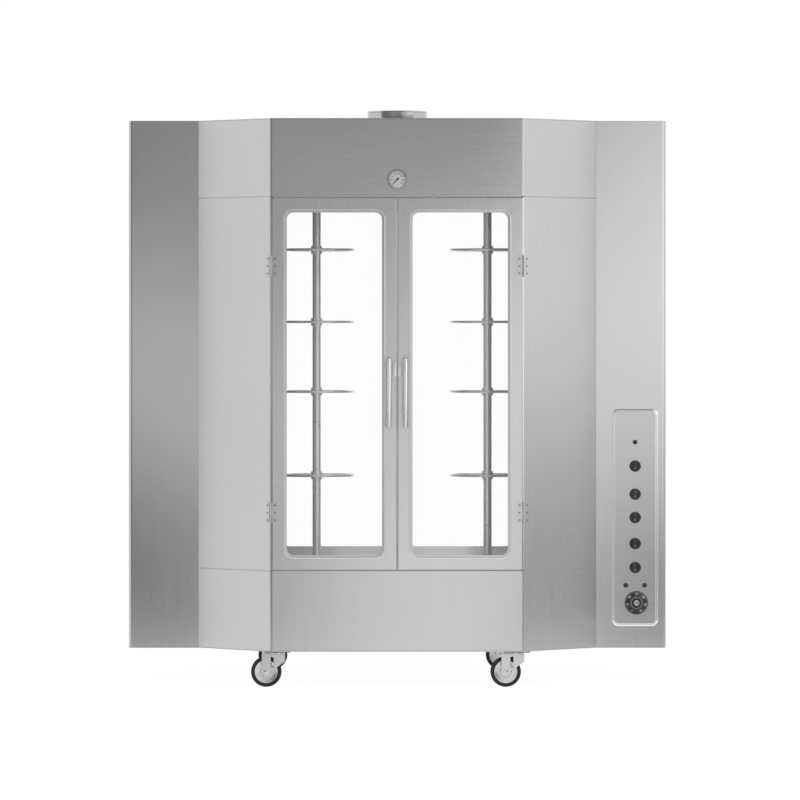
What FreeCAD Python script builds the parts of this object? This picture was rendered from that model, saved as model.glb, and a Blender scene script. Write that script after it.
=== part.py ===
import FreeCAD, Part
import math
import os
import re
import Sketcher
from FreeCAD import Placement, Rotation, Vector

doc = FreeCAD.newDocument("RoastingOven")
sheet = doc.addObject("Spreadsheet::Sheet", "Sizes")
nodes = []

# Driving dimensions in millimetres; teeth is a count
sizes = {
    # Body plan: front face towards -Y, eight-sided core, one flat column on each flank
    "front_half": 412,
    "bay_run": 245,
    "column_width": 231,
    "column_depth": 660,
    "body_bottom": 118,
    "body_height": 1742,
    "header_height": 256,
    "apron_height": 264,
    "panel_thick": 30,
    "skin": 3,
    "ceiling_drop": 140,
    "seam": 1.5,
    "facet": 5.2,
    "fold_radius": 13,
    # Doors
    "door_gap": 3,
    "window_width": 311,
    "window_side": 48,
    "window_foot": 51,
    "window_head": 52,
    "window_radius": 22,
    "glass_thick": 6,
    "glass_bite": 8,
    "bead_width": 9,
    "bead_rise": 3,
    "handle_inset": 27,
    "handle_length": 229,
    "handle_rise": 464,
    "handle_radius": 8,
    "handle_reach": 36,
    "post_radius": 6,
    "post_inset": 22,
    # Butt hinges on the bay corners
    "hinge_length": 69,
    "hinge_low_inset": 187,
    "hinge_high_inset": 224,
    "leaf_width": 19,
    "leaf_thick": 2,
    "knuckle_radius": 5,
    "pin_radius": 3,
    "pin_clear": 0.05,
    "knuckle_gap": 0.4,
    "knuckle_stand": 6,
    # Rear viewing window
    "rear_side": 16,
    "rear_foot": 40,
    "rear_head": 278,
    # Rotors
    "rotor_half": 287,
    "rotor_offset": 16,
    "shaft_radius": 14,
    "wheel_radius": 122,
    "rim_radius": 4,
    "spoke_radius": 3,
    "spoke_count": 6,
    "hub_radius": 19,
    "hub_height": 26,
    "tier_one_rise": 299,
    "tier_two_rise": 580,
    "tier_three_rise": 814,
    "tier_four_rise": 1056,
    "bearing_radius": 32,
    "bearing_height": 24,
    "sprocket_radius": 60,
    "sprocket_height": 8,
    "sprocket_drop": 60,
    "tooth_gap": 5.25,
    "sprocket_teeth": 24,
    "chain_width": 14,
    "chain_thick": 9,
    "chain_clear": 0.5,
    "motor_height": 120,
    "motor_width": 130,
    "motor_radius": 55,
    "motor_length": 150,
    "motor_clear": 6,
    # Heating elements on the side walls
    "element_radius": 7,
    "element_half": 90,
    "element_rise": 138,
    "element_head": 150,
    "element_standoff": 45,
    "element_flange": 22,
    # Flue
    "flue_radius": 100,
    "flue_wall": 2,
    "flue_rise": 43,
    "flue_flange": 18,
    # Thermometer in the header
    "gauge_rise": 56,
    "gauge_radius": 32.5,
    "gauge_depth": 14,
    "gauge_rim": 3,
    "dial_depth": 6,
    "lens_thick": 2,
    "probe_radius": 4,
    "probe_length": 120,
    "pointer_length": 20,
    "pointer_width": 3,
    "pointer_thick": 1,
    "staff_radius": 1.5,
    # Control panel on the right column
    "panel_side": 102,
    "panel_rise": 77,
    "panel_width": 142,
    "panel_height": 708,
    "panel_radius": 16,
    "plate_thick": 4,
    "cutout_margin": 14,
    "knob_radius": 19,
    "knob_depth": 20,
    "knob_lift": 1,
    "spindle_radius": 3,
    "spindle_length": 24,
    "spindle_clear": 0.05,
    "knob_one_gap": 55,
    "knob_two_gap": 39,
    "knob_three_gap": 48,
    "knob_four_gap": 41,
    "knob_five_gap": 30,
    "thermostat_shift": 4,
    "thermostat_foot": 33.5,
    "thermostat_radius": 39,
    "thermostat_depth": 26,
    "lamp_radius": 10,
    "lamp_depth": 5,
    "lamp_spread": 31,
    "lamp_gap": 8.5,
    "indicator_gap": 50,
    "switch_width": 44,
    "switch_depth": 40,
    # Cable gland at the back of the right column
    "gland_rise": 182,
    "gland_radius": 14,
    "gland_bore": 8,
    "gland_length": 22,
    # Base frame and casters
    "rail_width": 50,
    "rail_height": 40,
    "rail_clear": 2,
    "caster_side": 20,
    "caster_inset": 70,
    "caster_plate": 84,
    "caster_plate_thick": 4,
    "wheel_size": 100,
    "wheel_width": 32,
    "caster_trail": 37,
    "race_radius": 24,
    "race_height": 6,
    "race_clear": 0.3,
    "fork_thick": 4,
    "fork_gap": 3,
    "fork_width": 28,
    "skirt_drop": 20,
    "slot_inset": 1,
    "slot_width": 10,
    "axle_radius": 6,
    "axle_clear": 0.05,
    "kingpin_radius": 6,
}
for row, (alias, value) in enumerate(sizes.items(), 1):
    sheet.set("A" + str(row), str(value))
    sheet.setAlias("A" + str(row), alias)
doc.recompute()

# Formulas of those sizes; the body stands back by half the handles' reach
formulas = {
    "reach_shift": "(handle_reach + handle_radius) / 2",
    "front": "reach_shift - column_depth / 2 - bay_run",
    "rear": "reach_shift + column_depth / 2 + bay_run",
    "inner_half": "front_half + bay_run",
    "column_front": "reach_shift - column_depth / 2",
    "column_rear": "reach_shift + column_depth / 2",
    "body_top": "body_bottom + body_height",
    "header_seam": "body_top - header_height",
    "apron_seam": "body_bottom + apron_height",
    "shell_low": "body_bottom + skin",
    "shell_high": "body_top - skin",
    "floor_low": "apron_seam - skin",
    "ceiling": "body_top - ceiling_drop",
    "slant": "panel_thick * sqrt(2)",
    "facet_run": "facet / sqrt(2)",
    "facet_rise": "facet * (sqrt(2) - 1)",
    "door_inner": "door_gap / 2",
    "door_outer": "front_half - door_gap",
    "door_low": "apron_seam + door_gap",
    "door_high": "header_seam - door_gap",
    "window_mid": "door_outer - window_side - window_width / 2",
    "window_low": "apron_seam + window_foot",
    "window_height": "header_seam - window_head - window_low",
    "handle_low": "door_low + handle_rise",
    "hinge_low_mid": "door_low + hinge_low_inset",
    "hinge_high_mid": "door_high - hinge_high_inset",
    "pin_x": "-front_half - knuckle_stand * sin(22.5)",
    "pin_y": "front - knuckle_stand * cos(22.5)",
    "leaf_start": "knuckle_radius + knuckle_gap",
    "third": "hinge_length / 3",
    "rear_half": "front_half - rear_side",
    "rear_sill": "apron_seam + rear_foot",
    "rear_window_height": "body_top - rear_head - rear_sill",
    "shaft_left": "rotor_offset - rotor_half",
    "shaft_right": "rotor_offset + rotor_half",
    "tier_one": "apron_seam + tier_one_rise",
    "tier_two": "apron_seam + tier_two_rise",
    "tier_three": "apron_seam + tier_three_rise",
    "tier_four": "apron_seam + tier_four_rise",
    "bearing_bore": "shaft_radius + spindle_clear",
    "sprocket_low": "floor_low - sprocket_drop",
    "shaft_low": "sprocket_low - motor_clear - motor_height / 3",
    "shaft_span": "ceiling - skin - shaft_low",
    "element_low": "apron_seam + element_rise",
    "element_height": "ceiling - element_head - element_half - element_low",
    "gauge_height": "header_seam + gauge_rise",
    "panel_mid": "inner_half + column_width - panel_side",
    "panel_low": "body_bottom + panel_rise",
    "plate_front": "column_front - plate_thick",
    "thermostat_x": "panel_mid + thermostat_shift",
    "thermostat_height": "panel_low + thermostat_foot + thermostat_radius",
    "lamp_height": "thermostat_height + thermostat_radius + lamp_gap + lamp_radius",
    "knob_five": "lamp_height + lamp_radius + knob_five_gap + knob_radius",
    "knob_four": "knob_five + 2 * knob_radius + knob_four_gap",
    "knob_three": "knob_four + 2 * knob_radius + knob_three_gap",
    "knob_two": "knob_three + 2 * knob_radius + knob_two_gap",
    "knob_one": "knob_two + 2 * knob_radius + knob_one_gap",
    "indicator_height": "knob_one + knob_radius + indicator_gap + lamp_radius",
    "gland_height": "body_bottom + gland_rise",
    "caster_half": "front_half - caster_side",
    "caster_front": "front + caster_inset",
    "caster_rear": "rear - caster_inset",
    "plate_low": "body_bottom - caster_plate_thick",
    "race_low": "plate_low - race_clear - race_height",
    "crown_low": "race_low - fork_thick",
    "cheek": "wheel_width / 2 + fork_gap",
    "slot_low": "wheel_size / 2 + fork_width / 2",
}


def spell(text):
    """A formula with its names written out as cells of the sheet."""

    def word(match):
        name = match.group(0)
        if name in formulas:
            return "(" + spell(formulas[name]) + ")"
        return "Sizes." + name if name in sizes else name

    return re.sub(r"[a-z_]+", word, text)


def bind(thing, prop, text):
    thing.setExpression(prop, spell(text))


def place(thing, x, y, z):
    bind(thing, "Placement.Base.x", x)
    bind(thing, "Placement.Base.y", y)
    bind(thing, "Placement.Base.z", z)


def box(name, low, spans):
    """A block from its low corner and its three lengths."""
    thing = doc.addObject("Part::Box", name)
    bind(thing, "Length", spans[0])
    bind(thing, "Width", spans[1])
    bind(thing, "Height", spans[2])
    place(thing, low[0], low[1], low[2])
    return thing


def rod(name, radius, length, start, along=Vector(0, 0, 1)):
    """A round bar from its start point."""
    thing = doc.addObject("Part::Cylinder", name)
    bind(thing, "Radius", radius)
    bind(thing, "Height", length)
    thing.Placement = Placement(Vector(), Rotation(Vector(0, 0, 1), along))
    place(thing, start[0], start[1], start[2])
    return thing


def cut(name, base, tool):
    thing = doc.addObject("Part::Cut", name)
    thing.Base = base
    thing.Tool = tool
    thing.Refine = True
    return thing


def fuse(name, pieces):
    thing = doc.addObject("Part::MultiFuse", name)
    thing.Shapes = pieces
    thing.Refine = True
    return thing


def group(name, pieces):
    """Separate solids that share one node."""
    thing = doc.addObject("Part::Compound", name)
    thing.Links = pieces
    return thing


def node(thing, label):
    thing.Label = label
    nodes.append(thing)
    return thing


def outline(name, plane, points, depth):
    """A body padded from a closed outline whose corners are tied to the sheet."""
    body = doc.addObject("PartDesign::Body", name)
    sketch = body.newObject("Sketcher::SketchObject", name + "Sketch")
    origin = [f for f in body.Origin.OriginFeatures if f.Role == plane][0]
    sketch.AttachmentSupport = [(origin, "")]
    sketch.MapMode = "FlatFace"
    count = len(points)
    turns = [2 * math.pi * i / count for i in range(count)]
    corners = [Vector(math.cos(turn), math.sin(turn), 0) for turn in turns]
    for i in range(count):
        sketch.addGeometry(Part.LineSegment(corners[i], corners[(i + 1) % count]), False)
    for i in range(count):
        sketch.addConstraint(Sketcher.Constraint("Coincident", i, 2, (i + 1) % count, 1))
    for i, (x, y) in enumerate(points):
        across = sketch.addConstraint(Sketcher.Constraint("DistanceX", -1, 1, i, 1, corners[i].x))
        bind(sketch, "Constraints[" + str(across) + "]", x)
        up = sketch.addConstraint(Sketcher.Constraint("DistanceY", -1, 1, i, 1, corners[i].y))
        bind(sketch, "Constraints[" + str(up) + "]", y)
    pad = body.newObject("PartDesign::Pad", name + "Pad")
    pad.Profile = sketch
    bind(pad, "Length", depth)
    doc.recompute()
    return body


def rounded(name, mid_x, low_z, width, height, radius, back, depth):
    """A flat block facing front, with its four upright corners rounded."""
    left = "(" + mid_x + " - (" + width + ") / 2)"
    right = "(" + mid_x + " + (" + width + ") / 2)"
    high = "(" + low_z + " + " + height + ")"
    body = outline(name, "XZ_Plane", [(left, low_z), (right, low_z), (right, high), (left, high)], depth)
    pad = body.Tip
    upright = []
    for i, edge in enumerate(pad.Shape.Edges):
        if abs(edge.tangentAt(edge.FirstParameter).y) > 0.99:
            upright.append("Edge" + str(i + 1))
    fillet = body.newObject("PartDesign::Fillet", name + "Fillet")
    fillet.Base = (pad, upright)
    bind(fillet, "Radius", radius)
    bind(body, "Placement.Base.y", back)
    doc.recompute()
    return body


def mirrored(name, source):
    """The right-hand twin of a left-hand piece."""
    thing = doc.addObject("Part::Mirroring", name)
    thing.Source = source
    thing.Normal = Vector(1, 0, 0)
    return thing


def pair(build, label):
    """A left-hand node and its mirrored right-hand node."""
    left = build("Left" + label.title().replace("_", ""))
    node(left, "left_" + label)
    node(mirrored("Right" + label.title().replace("_", ""), left), "right_" + label)
    return left


back = Vector(0, 1, 0)
ahead = Vector(0, -1, 0)
side = Vector(1, 0, 0)


# Shell of the core: base, roof, floor, ceiling, header, apron, diagonals and rear
def octagon(name, low):
    """A plate over the whole core, its bay corners cut to the panels' facets."""
    points = [
        ("-front_half + facet", "front"),
        ("front_half - facet", "front"),
        ("front_half + facet_run", "front + facet_run"),
        ("inner_half", "column_front"),
        ("inner_half", "column_rear"),
        ("front_half + facet_run", "rear - facet_run"),
        ("front_half - facet", "rear"),
        ("-front_half + facet", "rear"),
        ("-front_half - facet_run", "rear - facet_run"),
        ("-inner_half", "column_rear"),
        ("-inner_half", "column_front"),
        ("-front_half - facet_run", "front + facet_run"),
    ]
    body = outline(name, "XY_Plane", points, "skin")
    bind(body, "Placement.Base.z", low)
    return body


def inner_plate(name, low):
    """A plate that fills the core inside its panels."""
    y_front = "(front + panel_thick)"
    y_rear = "(rear - panel_thick)"
    bend_front = "(front + slant)"
    bend_rear = "(rear - slant)"
    wall_front = "(column_front + slant)"
    wall_rear = "(column_rear - slant)"
    points = [
        ("-front_half", y_front),
        ("front_half", y_front),
        ("front_half", bend_front),
        ("inner_half", wall_front),
        ("inner_half", wall_rear),
        ("front_half", bend_rear),
        ("front_half", y_rear),
        ("-front_half", y_rear),
        ("-front_half", bend_rear),
        ("-inner_half", wall_rear),
        ("-inner_half", wall_front),
        ("-front_half", bend_front),
    ]
    body = outline(name, "XY_Plane", points, "skin")
    bind(body, "Placement.Base.z", low)
    return body


def base_frame():
    pieces = [octagon("BasePlate", "body_bottom")]
    rail_span = "rear - front - 2 * panel_thick"
    for i, low_x in enumerate(("-front_half + rail_clear", "front_half - rail_clear - rail_width")):
        low = (low_x, "front + panel_thick", "shell_low")
        pieces.append(box("Rail" + str(i), low, ("rail_width", rail_span, "rail_height")))
    for i, middle in enumerate(("caster_front", "caster_rear")):
        low = ("-front_half + rail_clear", middle + " - rail_width / 2", "shell_low")
        pieces.append(box("CrossRail" + str(i), low,
                          ("2 * front_half - 2 * rail_clear", "rail_width", "rail_height")))
    node(fuse("BaseFrame", pieces), "base_frame")


def core_plates():
    floor = inner_plate("FloorSheet", "floor_low")
    holes = []
    for i, x in enumerate(("shaft_left", "shaft_right")):
        holes.append(rod("FloorHole" + str(i), "bearing_radius / 2", "3 * skin",
                         (x, "reach_shift", "floor_low - skin")))
    node(cut("FloorPan", floor, fuse("FloorHoles", holes)), "floor_pan")
    flue_bore = "(flue_radius - flue_wall)"
    sheet_up = inner_plate("CeilingSheet", "ceiling")
    vent = rod("CeilingVent", flue_bore, "3 * skin", ("0", "reach_shift", "ceiling - skin"))
    node(cut("CeilingPanel", sheet_up, vent), "ceiling_panel")
    roof = octagon("RoofSheet", "shell_high")
    outlet = rod("RoofOutlet", "flue_radius", "3 * skin", ("0", "reach_shift", "shell_high - skin"))
    node(cut("RoofPanel", roof, outlet), "roof_panel")
    pipe_low = "(ceiling + skin)"
    pipe_span = "(body_top + flue_rise - " + pipe_low + ")"
    pipe = rod("FluePipe", "flue_radius", pipe_span, ("0", "reach_shift", pipe_low))
    flange = rod("FlueFlange", "flue_radius + flue_flange", "skin", ("0", "reach_shift", "body_top"))
    bore = rod("FlueBore", flue_bore, pipe_span + " + 2 * skin", ("0", "reach_shift", pipe_low + " - skin"))
    node(cut("FlueCollar", fuse("FlueSolid", [pipe, flange]), bore), "flue_collar")


def bay_panel(name, face, turn, low, high):
    """A panel across a bay between its two faceted corners; turn points from its face inwards."""
    points = [
        ("-front_half + facet", face),
        ("front_half - facet", face),
        ("front_half", face + turn + "facet_rise"),
        ("front_half", face + turn + "panel_thick"),
        ("-front_half", face + turn + "panel_thick"),
        ("-front_half", face + turn + "facet_rise"),
    ]
    body = outline(name, "XY_Plane", points, high + " - " + low)
    bind(body, "Placement.Base.z", low)
    return body


def core_front():
    header = bay_panel("HeaderPanel", "front", " + ", "header_seam", "shell_high")
    probe = rod("ProbeHole", "probe_radius", "2 * panel_thick",
                ("0", "front - panel_thick / 2", "gauge_height"), back)
    node(cut("FrontHeader", header, probe), "front_header")
    node(bay_panel("FrontApron", "front", " + ", "shell_low", "apron_seam"), "front_apron")


def diagonal(name, near, far, turn, low, high):
    """One insulated panel across a bay corner; near and far are its outer edge's Y values."""
    points = [
        ("-front_half - facet_run", near + turn + "facet_run"),
        ("-front_half", near + turn + "facet_rise"),
        ("-front_half", near + turn + "slant"),
        ("-inner_half", far + turn + "slant"),
        ("-inner_half", far),
    ]
    body = outline(name, "XY_Plane", points, high + " - " + low)
    bind(body, "Placement.Base.z", low)
    return body


def front_diagonals(name):
    lower = ("shell_low", "(apron_seam - seam / 2)")
    middle = ("(apron_seam + seam / 2)", "(header_seam - seam / 2)")
    upper = ("(header_seam + seam / 2)", "shell_high")
    pieces = []
    for i, (low, high) in enumerate((lower, middle, upper)):
        pieces.append(diagonal(name + str(i), "front", "column_front", " + ", low, high))
    return group(name, pieces)


def core_rear():
    left = diagonal("RearDiagonal", "rear", "column_rear", " - ", "shell_low", "shell_high")
    node(group("RearDiagonals", [left, mirrored("RearDiagonalRight", left)]), "rear_diagonal_panels")
    panel = bay_panel("RearSheet", "rear", " - ", "shell_low", "shell_high")
    opening = rounded("RearOpening", "0", "rear_sill", "2 * rear_half", "rear_window_height", "window_radius",
                      "rear + skin", "panel_thick + 2 * skin")
    glass_y = "(rear - panel_thick / 2 - glass_thick / 2)"
    glass = box("RearGlass", ("-rear_half - glass_bite", glass_y, "rear_sill - glass_bite"),
                ("2 * rear_half + 2 * glass_bite", "glass_thick", "rear_window_height + 2 * glass_bite"))
    node(cut("RearPanel", panel, fuse("RearCuts", [opening, glass])), "rear_panel")
    node(glass, "rear_glass")


# Flank columns and the walls between them and the core
def folded(name, wall, end, low_z, height, radius):
    """A column block set in by a wall's thickness, with its two outer upright edges folded round."""
    left = "(-inner_half - column_width + " + wall + ")"
    front_y = "(column_front + " + wall + ")"
    rear_y = "(column_rear - " + wall + ")"
    body = outline(name, "XY_Plane", [(left, front_y), (end, front_y), (end, rear_y), (left, rear_y)], height)
    pad = body.Tip
    folds = []
    for i, edge in enumerate(pad.Shape.Edges):
        middle = edge.CenterOfMass
        upright = abs(edge.tangentAt(edge.FirstParameter).z) > 0.99
        if upright and middle.x < pad.Shape.CenterOfMass.x:
            folds.append("Edge" + str(i + 1))
    fillet = body.newObject("PartDesign::Fillet", name + "Fold")
    fillet.Base = (pad, folds)
    bind(fillet, "Radius", radius)
    bind(body, "Placement.Base.z", low_z)
    doc.recompute()
    return body


def columns():
    shell = folded("ColumnBlock", "0", "-inner_half", "body_bottom", "body_height", "fold_radius")
    hollow = folded("ColumnHollow", "skin", "(skin - inner_half)", "shell_low", "body_height - 2 * skin",
                    "fold_radius - skin")
    left = node(cut("LeftColumn", shell, hollow), "left_column")
    cut_low = ("panel_mid - panel_width / 2 + cutout_margin", "column_front - skin",
               "panel_low + cutout_margin")
    cut_span = ("panel_width - 2 * cutout_margin", "3 * skin", "panel_height - 2 * cutout_margin")
    hatch = box("PanelCutout", cut_low, cut_span)
    entry = rod("GlandHole", "gland_radius", "3 * skin",
                ("panel_mid", "column_rear - 2 * skin", "gland_height"), back)
    node(cut("RightColumn", mirrored("ColumnTwin", left), fuse("ColumnCuts", [hatch, entry])), "right_column")
    wall = box("SideWall", ("-inner_half - panel_thick", "column_front + skin", "shell_low"),
               ("panel_thick", "column_depth - 2 * skin", "body_height - 2 * skin"))
    node(group("SideWalls", [wall, mirrored("SideWallTwin", wall)]), "side_walls")
    gland_y = "(column_rear - skin)"
    gland = rod("GlandBody", "gland_radius", "gland_length", ("panel_mid", gland_y, "gland_height"), back)
    bore = rod("GlandBore", "gland_bore", "gland_length + 2 * skin",
               ("panel_mid", gland_y + " - skin", "gland_height"), back)
    node(cut("CableGland", gland, bore), "cable_gland")


# Doors: frame, pane, window bead and pull handle
def window_tool(name):
    return rounded(name, "-window_mid", "window_low", "window_width", "window_height", "window_radius",
                   "front + panel_thick + skin", "panel_thick + 2 * skin + bead_rise")


def door_pane(name):
    low_x = "(-window_mid - window_width / 2 - glass_bite)"
    low_y = "(front + panel_thick / 2 - glass_thick / 2)"
    spans = ("window_width + 2 * glass_bite", "glass_thick", "window_height + 2 * glass_bite")
    return box(name, (low_x, low_y, "window_low - glass_bite"), spans)


def doors():
    pane = pair(door_pane, "door_glass")
    hole = window_tool("DoorWindow")

    def frame(name):
        width = "door_outer - door_inner"
        tall = "door_high - door_low"
        slab = box(name + "Slab", ("-door_outer", "front", "door_low"), (width, "panel_thick", tall))
        return cut(name, slab, fuse(name + "Cuts", [hole, pane]))

    def bead(name):
        block = rounded(name + "Block", "-window_mid", "window_low - bead_width",
                        "window_width + 2 * bead_width",
                        "window_height + 2 * bead_width", "window_radius + bead_width", "front", "bead_rise")
        return cut(name, block, hole)

    def handle(name):
        bar_y = "(front - handle_reach)"
        pieces = [rod(name + "Bar", "handle_radius", "handle_length", ("-handle_inset", bar_y, "handle_low"))]
        for i, z in enumerate(("handle_low + post_inset", "handle_low + handle_length - post_inset")):
            pieces.append(rod(name + "Post" + str(i), "post_radius", "handle_reach",
                              ("-handle_inset", "front", z), ahead))
        return fuse(name, pieces)

    pair(frame, "door_frame")
    pair(bead, "window_bead")
    pair(handle, "door_handle")


# Butt hinges: the fixed leaf lies on the diagonal, the moving leaf on the door


def diagonal_plate(name, begin, length, low_z, height):
    """A leaf plate lying on the left front diagonal, begun at a distance from the pin."""
    thing = doc.addObject("Part::Box", name)
    thing.Placement = Placement(Vector(), Rotation(Vector(0, 0, 1), 135))
    stand = "knuckle_stand * cos(22.5) * cos(45)"
    bind(thing, "Length", length)
    bind(thing, "Width", "leaf_thick")
    bind(thing, "Height", height)
    place(thing, "pin_x + " + stand + " - " + begin + " * cos(45)",
          "pin_y + " + stand + " + " + begin + " * cos(45)", low_z)
    return thing


def fixed_leaf(name, middle):
    low = "(" + middle + " - hinge_length / 2)"
    high_third = "(" + middle + " + hinge_length / 6 + knuckle_gap)"
    tab_height = "third - knuckle_gap"
    pieces = [diagonal_plate(name + "Plate", "leaf_start", "leaf_width", low, "hinge_length")]
    for i, tab_low in enumerate((low, high_third)):
        tag = name + str(i)
        pieces.append(diagonal_plate(tag + "Tab", "0", "leaf_start", tab_low, tab_height))
        pieces.append(rod(tag + "Knuckle", "knuckle_radius", tab_height, ("pin_x", "pin_y", tab_low)))
    pieces.append(rod(name + "Pin", "pin_radius", "hinge_length", ("pin_x", "pin_y", low)))
    return fuse(name, pieces)


def moving_leaf(name, middle):
    low = "(" + middle + " - hinge_length / 2)"
    tab_low = "(" + middle + " - hinge_length / 6)"
    leaf_y = "(front - leaf_thick)"
    plate = box(name + "Plate", ("pin_x + leaf_start", leaf_y, low),
                ("leaf_width", "leaf_thick", "hinge_length"))
    tab = box(name + "Tab", ("pin_x", leaf_y, tab_low), ("leaf_start", "leaf_thick", "third"))
    knuckle = rod(name + "Knuckle", "knuckle_radius", "third", ("pin_x", "pin_y", tab_low))
    bore = rod(name + "Bore", "pin_radius + pin_clear", "hinge_length", ("pin_x", "pin_y", low))
    return cut(name, fuse(name + "Solid", [plate, tab, knuckle]), bore)


def hinges():
    def fixed(name):
        return group(name,
                     [fixed_leaf(name + "Low", "hinge_low_mid"), fixed_leaf(name + "High", "hinge_high_mid")])

    def moving(name):
        return group(name,
                     [moving_leaf(name + "Low", "hinge_low_mid"),
                      moving_leaf(name + "High", "hinge_high_mid")])

    pair(fixed, "hinge_fixed_leaves")
    pair(moving, "hinge_door_leaves")


# Rotors: shafts, hanging wheels, bearings, sprockets, chain and gearmotor


def hanging_wheel(name, x, tier):
    hub = rod(name + "Hub", "hub_radius", "hub_height", (x, "reach_shift", tier + " - hub_height / 2"))
    rim = doc.addObject("Part::Torus", name + "Rim")
    bind(rim, "Radius1", "wheel_radius")
    bind(rim, "Radius2", "rim_radius")
    place(rim, x, "reach_shift", tier)
    pieces = [hub, rim]
    spokes = int(sheet.get("spoke_count"))
    for i in range(spokes):
        turn = 2 * math.pi * i / spokes
        along = Vector(math.cos(turn), math.sin(turn), 0)
        pieces.append(rod(name + "Spoke" + str(i), "spoke_radius", "wheel_radius", (x, "reach_shift", tier),
                          along))
    bore = rod(name + "Bore", "shaft_radius", "2 * hub_height", (x, "reach_shift", tier + " - hub_height"))
    return cut(name, fuse(name + "Solid", pieces), bore)


def sprocket(name, x):
    disc = rod(name + "Disc", "sprocket_radius", "sprocket_height", (x, "reach_shift", "sprocket_low"))
    teeth = int(sheet.get("sprocket_teeth"))
    gaps = [rod(name + "Bore", "shaft_radius", "3 * sprocket_height",
                (x, "reach_shift", "sprocket_low - sprocket_height"))]
    for i in range(teeth):
        turn = str(360 * i / teeth)
        where = (x + " + sprocket_radius * cos(" + turn + ")",
                 "reach_shift + sprocket_radius * sin(" + turn + ")",
                 "sprocket_low - sprocket_height")
        gaps.append(rod(name + "Gap" + str(i), "tooth_gap", "3 * sprocket_height", where))
    return cut(name, disc, fuse(name + "Gaps", gaps))


def bearing(name, x, low):
    ring = rod(name + "Ring", "bearing_radius", "bearing_height", (x, "reach_shift", low))
    bore = rod(name + "Bore", "bearing_bore", "bearing_height + 2 * skin",
               (x, "reach_shift", low + " - skin"))
    return cut(name, ring, bore)


def loop(name, radius, height, low):
    """The space inside a loop round both sprockets."""
    ends = [rod(name + str(i), radius, height, (x, "reach_shift", low)) for i,
            x in enumerate(("shaft_left", "shaft_right"))]
    middle = box(name + "Middle", ("shaft_left", "reach_shift - " + radius, low),
                 ("shaft_right - shaft_left", "2 * " + radius, height))
    return fuse(name, ends + [middle])


def rotors():
    tiers = ("tier_one", "tier_two", "tier_three", "tier_four")
    for hand, x in (("left", "shaft_left"), ("right", "shaft_right")):
        tag = hand.title()
        node(rod(tag + "Shaft", "shaft_radius", "shaft_span", (x, "reach_shift", "shaft_low")),
             hand + "_rotor_shaft")
        wheels = [hanging_wheel(tag + "Wheel" + str(i), x, tier) for i, tier in enumerate(tiers)]
        node(group(tag + "Wheels", wheels), hand + "_hanging_wheels")
        node(sprocket(tag + "Sprocket", x), hand + "_sprocket")
    rings = []
    for i, x in enumerate(("shaft_left", "shaft_right")):
        rings.append(bearing("TopBearing" + str(i), x, "(ceiling - bearing_height)"))
        rings.append(bearing("LowBearing" + str(i), x, "(floor_low - bearing_height)"))
    node(group("Bearings", rings), "rotor_bearings")
    chain_low = "(sprocket_low + sprocket_height / 2 - chain_width / 2)"
    inside = "(sprocket_radius + chain_clear)"
    outer = loop("ChainOuter", "(" + inside + " + chain_thick)", "chain_width", chain_low)
    inner = loop("ChainInner", inside, "3 * chain_width", "(" + chain_low + " - chain_width)")
    node(cut("DriveChain", outer, inner), "drive_chain")
    box_high = "(sprocket_low - motor_clear)"
    box_low = "(" + box_high + " - motor_height)"
    low_x = "(shaft_left - motor_width / 2)"
    low_y = "(reach_shift - motor_width / 2)"
    gearbox = box("Gearbox", (low_x, low_y, box_low), ("motor_width", "motor_width", "motor_height"))
    foot = box("MotorFoot", (low_x, low_y, "shell_low"),
               ("motor_width", "motor_width", box_low + " - shell_low"))
    can = rod("MotorCan", "motor_radius", "motor_length",
              ("shaft_left", "reach_shift + motor_width / 2", box_low + " + motor_height / 2"), back)
    socket = rod("MotorSocket", "bearing_bore", "motor_height",
                 ("shaft_left", "reach_shift", "shaft_low - skin"))
    node(cut("Gearmotor", fuse("MotorSolid", [gearbox, foot, can]), socket), "gearmotor")


# Heating elements: a hairpin on each side wall, with its two flanges
def heater(name):
    stand_x = "(-inner_half + element_standoff)"
    pieces = []
    for i, sign in enumerate((" - ", " + ")):
        y = "reach_shift" + sign + "element_half"
        tag = name + str(i)
        pieces.append(rod(tag + "Leg", "element_radius", "element_height", (stand_x, y, "element_low")))
        pieces.append(rod(tag + "Tail", "element_radius", "element_standoff",
                          ("-inner_half", y, "element_low"), side))
        pieces.append(rod(tag + "Flange", "element_flange", "skin", ("-inner_half", y, "element_low"), side))
        elbow = doc.addObject("Part::Sphere", tag + "Elbow")
        bind(elbow, "Radius", "element_radius")
        place(elbow, stand_x, y, "element_low")
        pieces.append(elbow)
    bend = doc.addObject("Part::Torus", name + "Bend")
    bind(bend, "Radius1", "element_half")
    bind(bend, "Radius2", "element_radius")
    bend.Angle3 = 180
    bend.Placement = Placement(Vector(), Rotation(Vector(0, 1, 0), Vector(0, 0, 1), Vector(1, 0, 0)))
    place(bend, stand_x, "reach_shift", "element_low + element_height")
    pieces.append(bend)
    return fuse(name, pieces)


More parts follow.
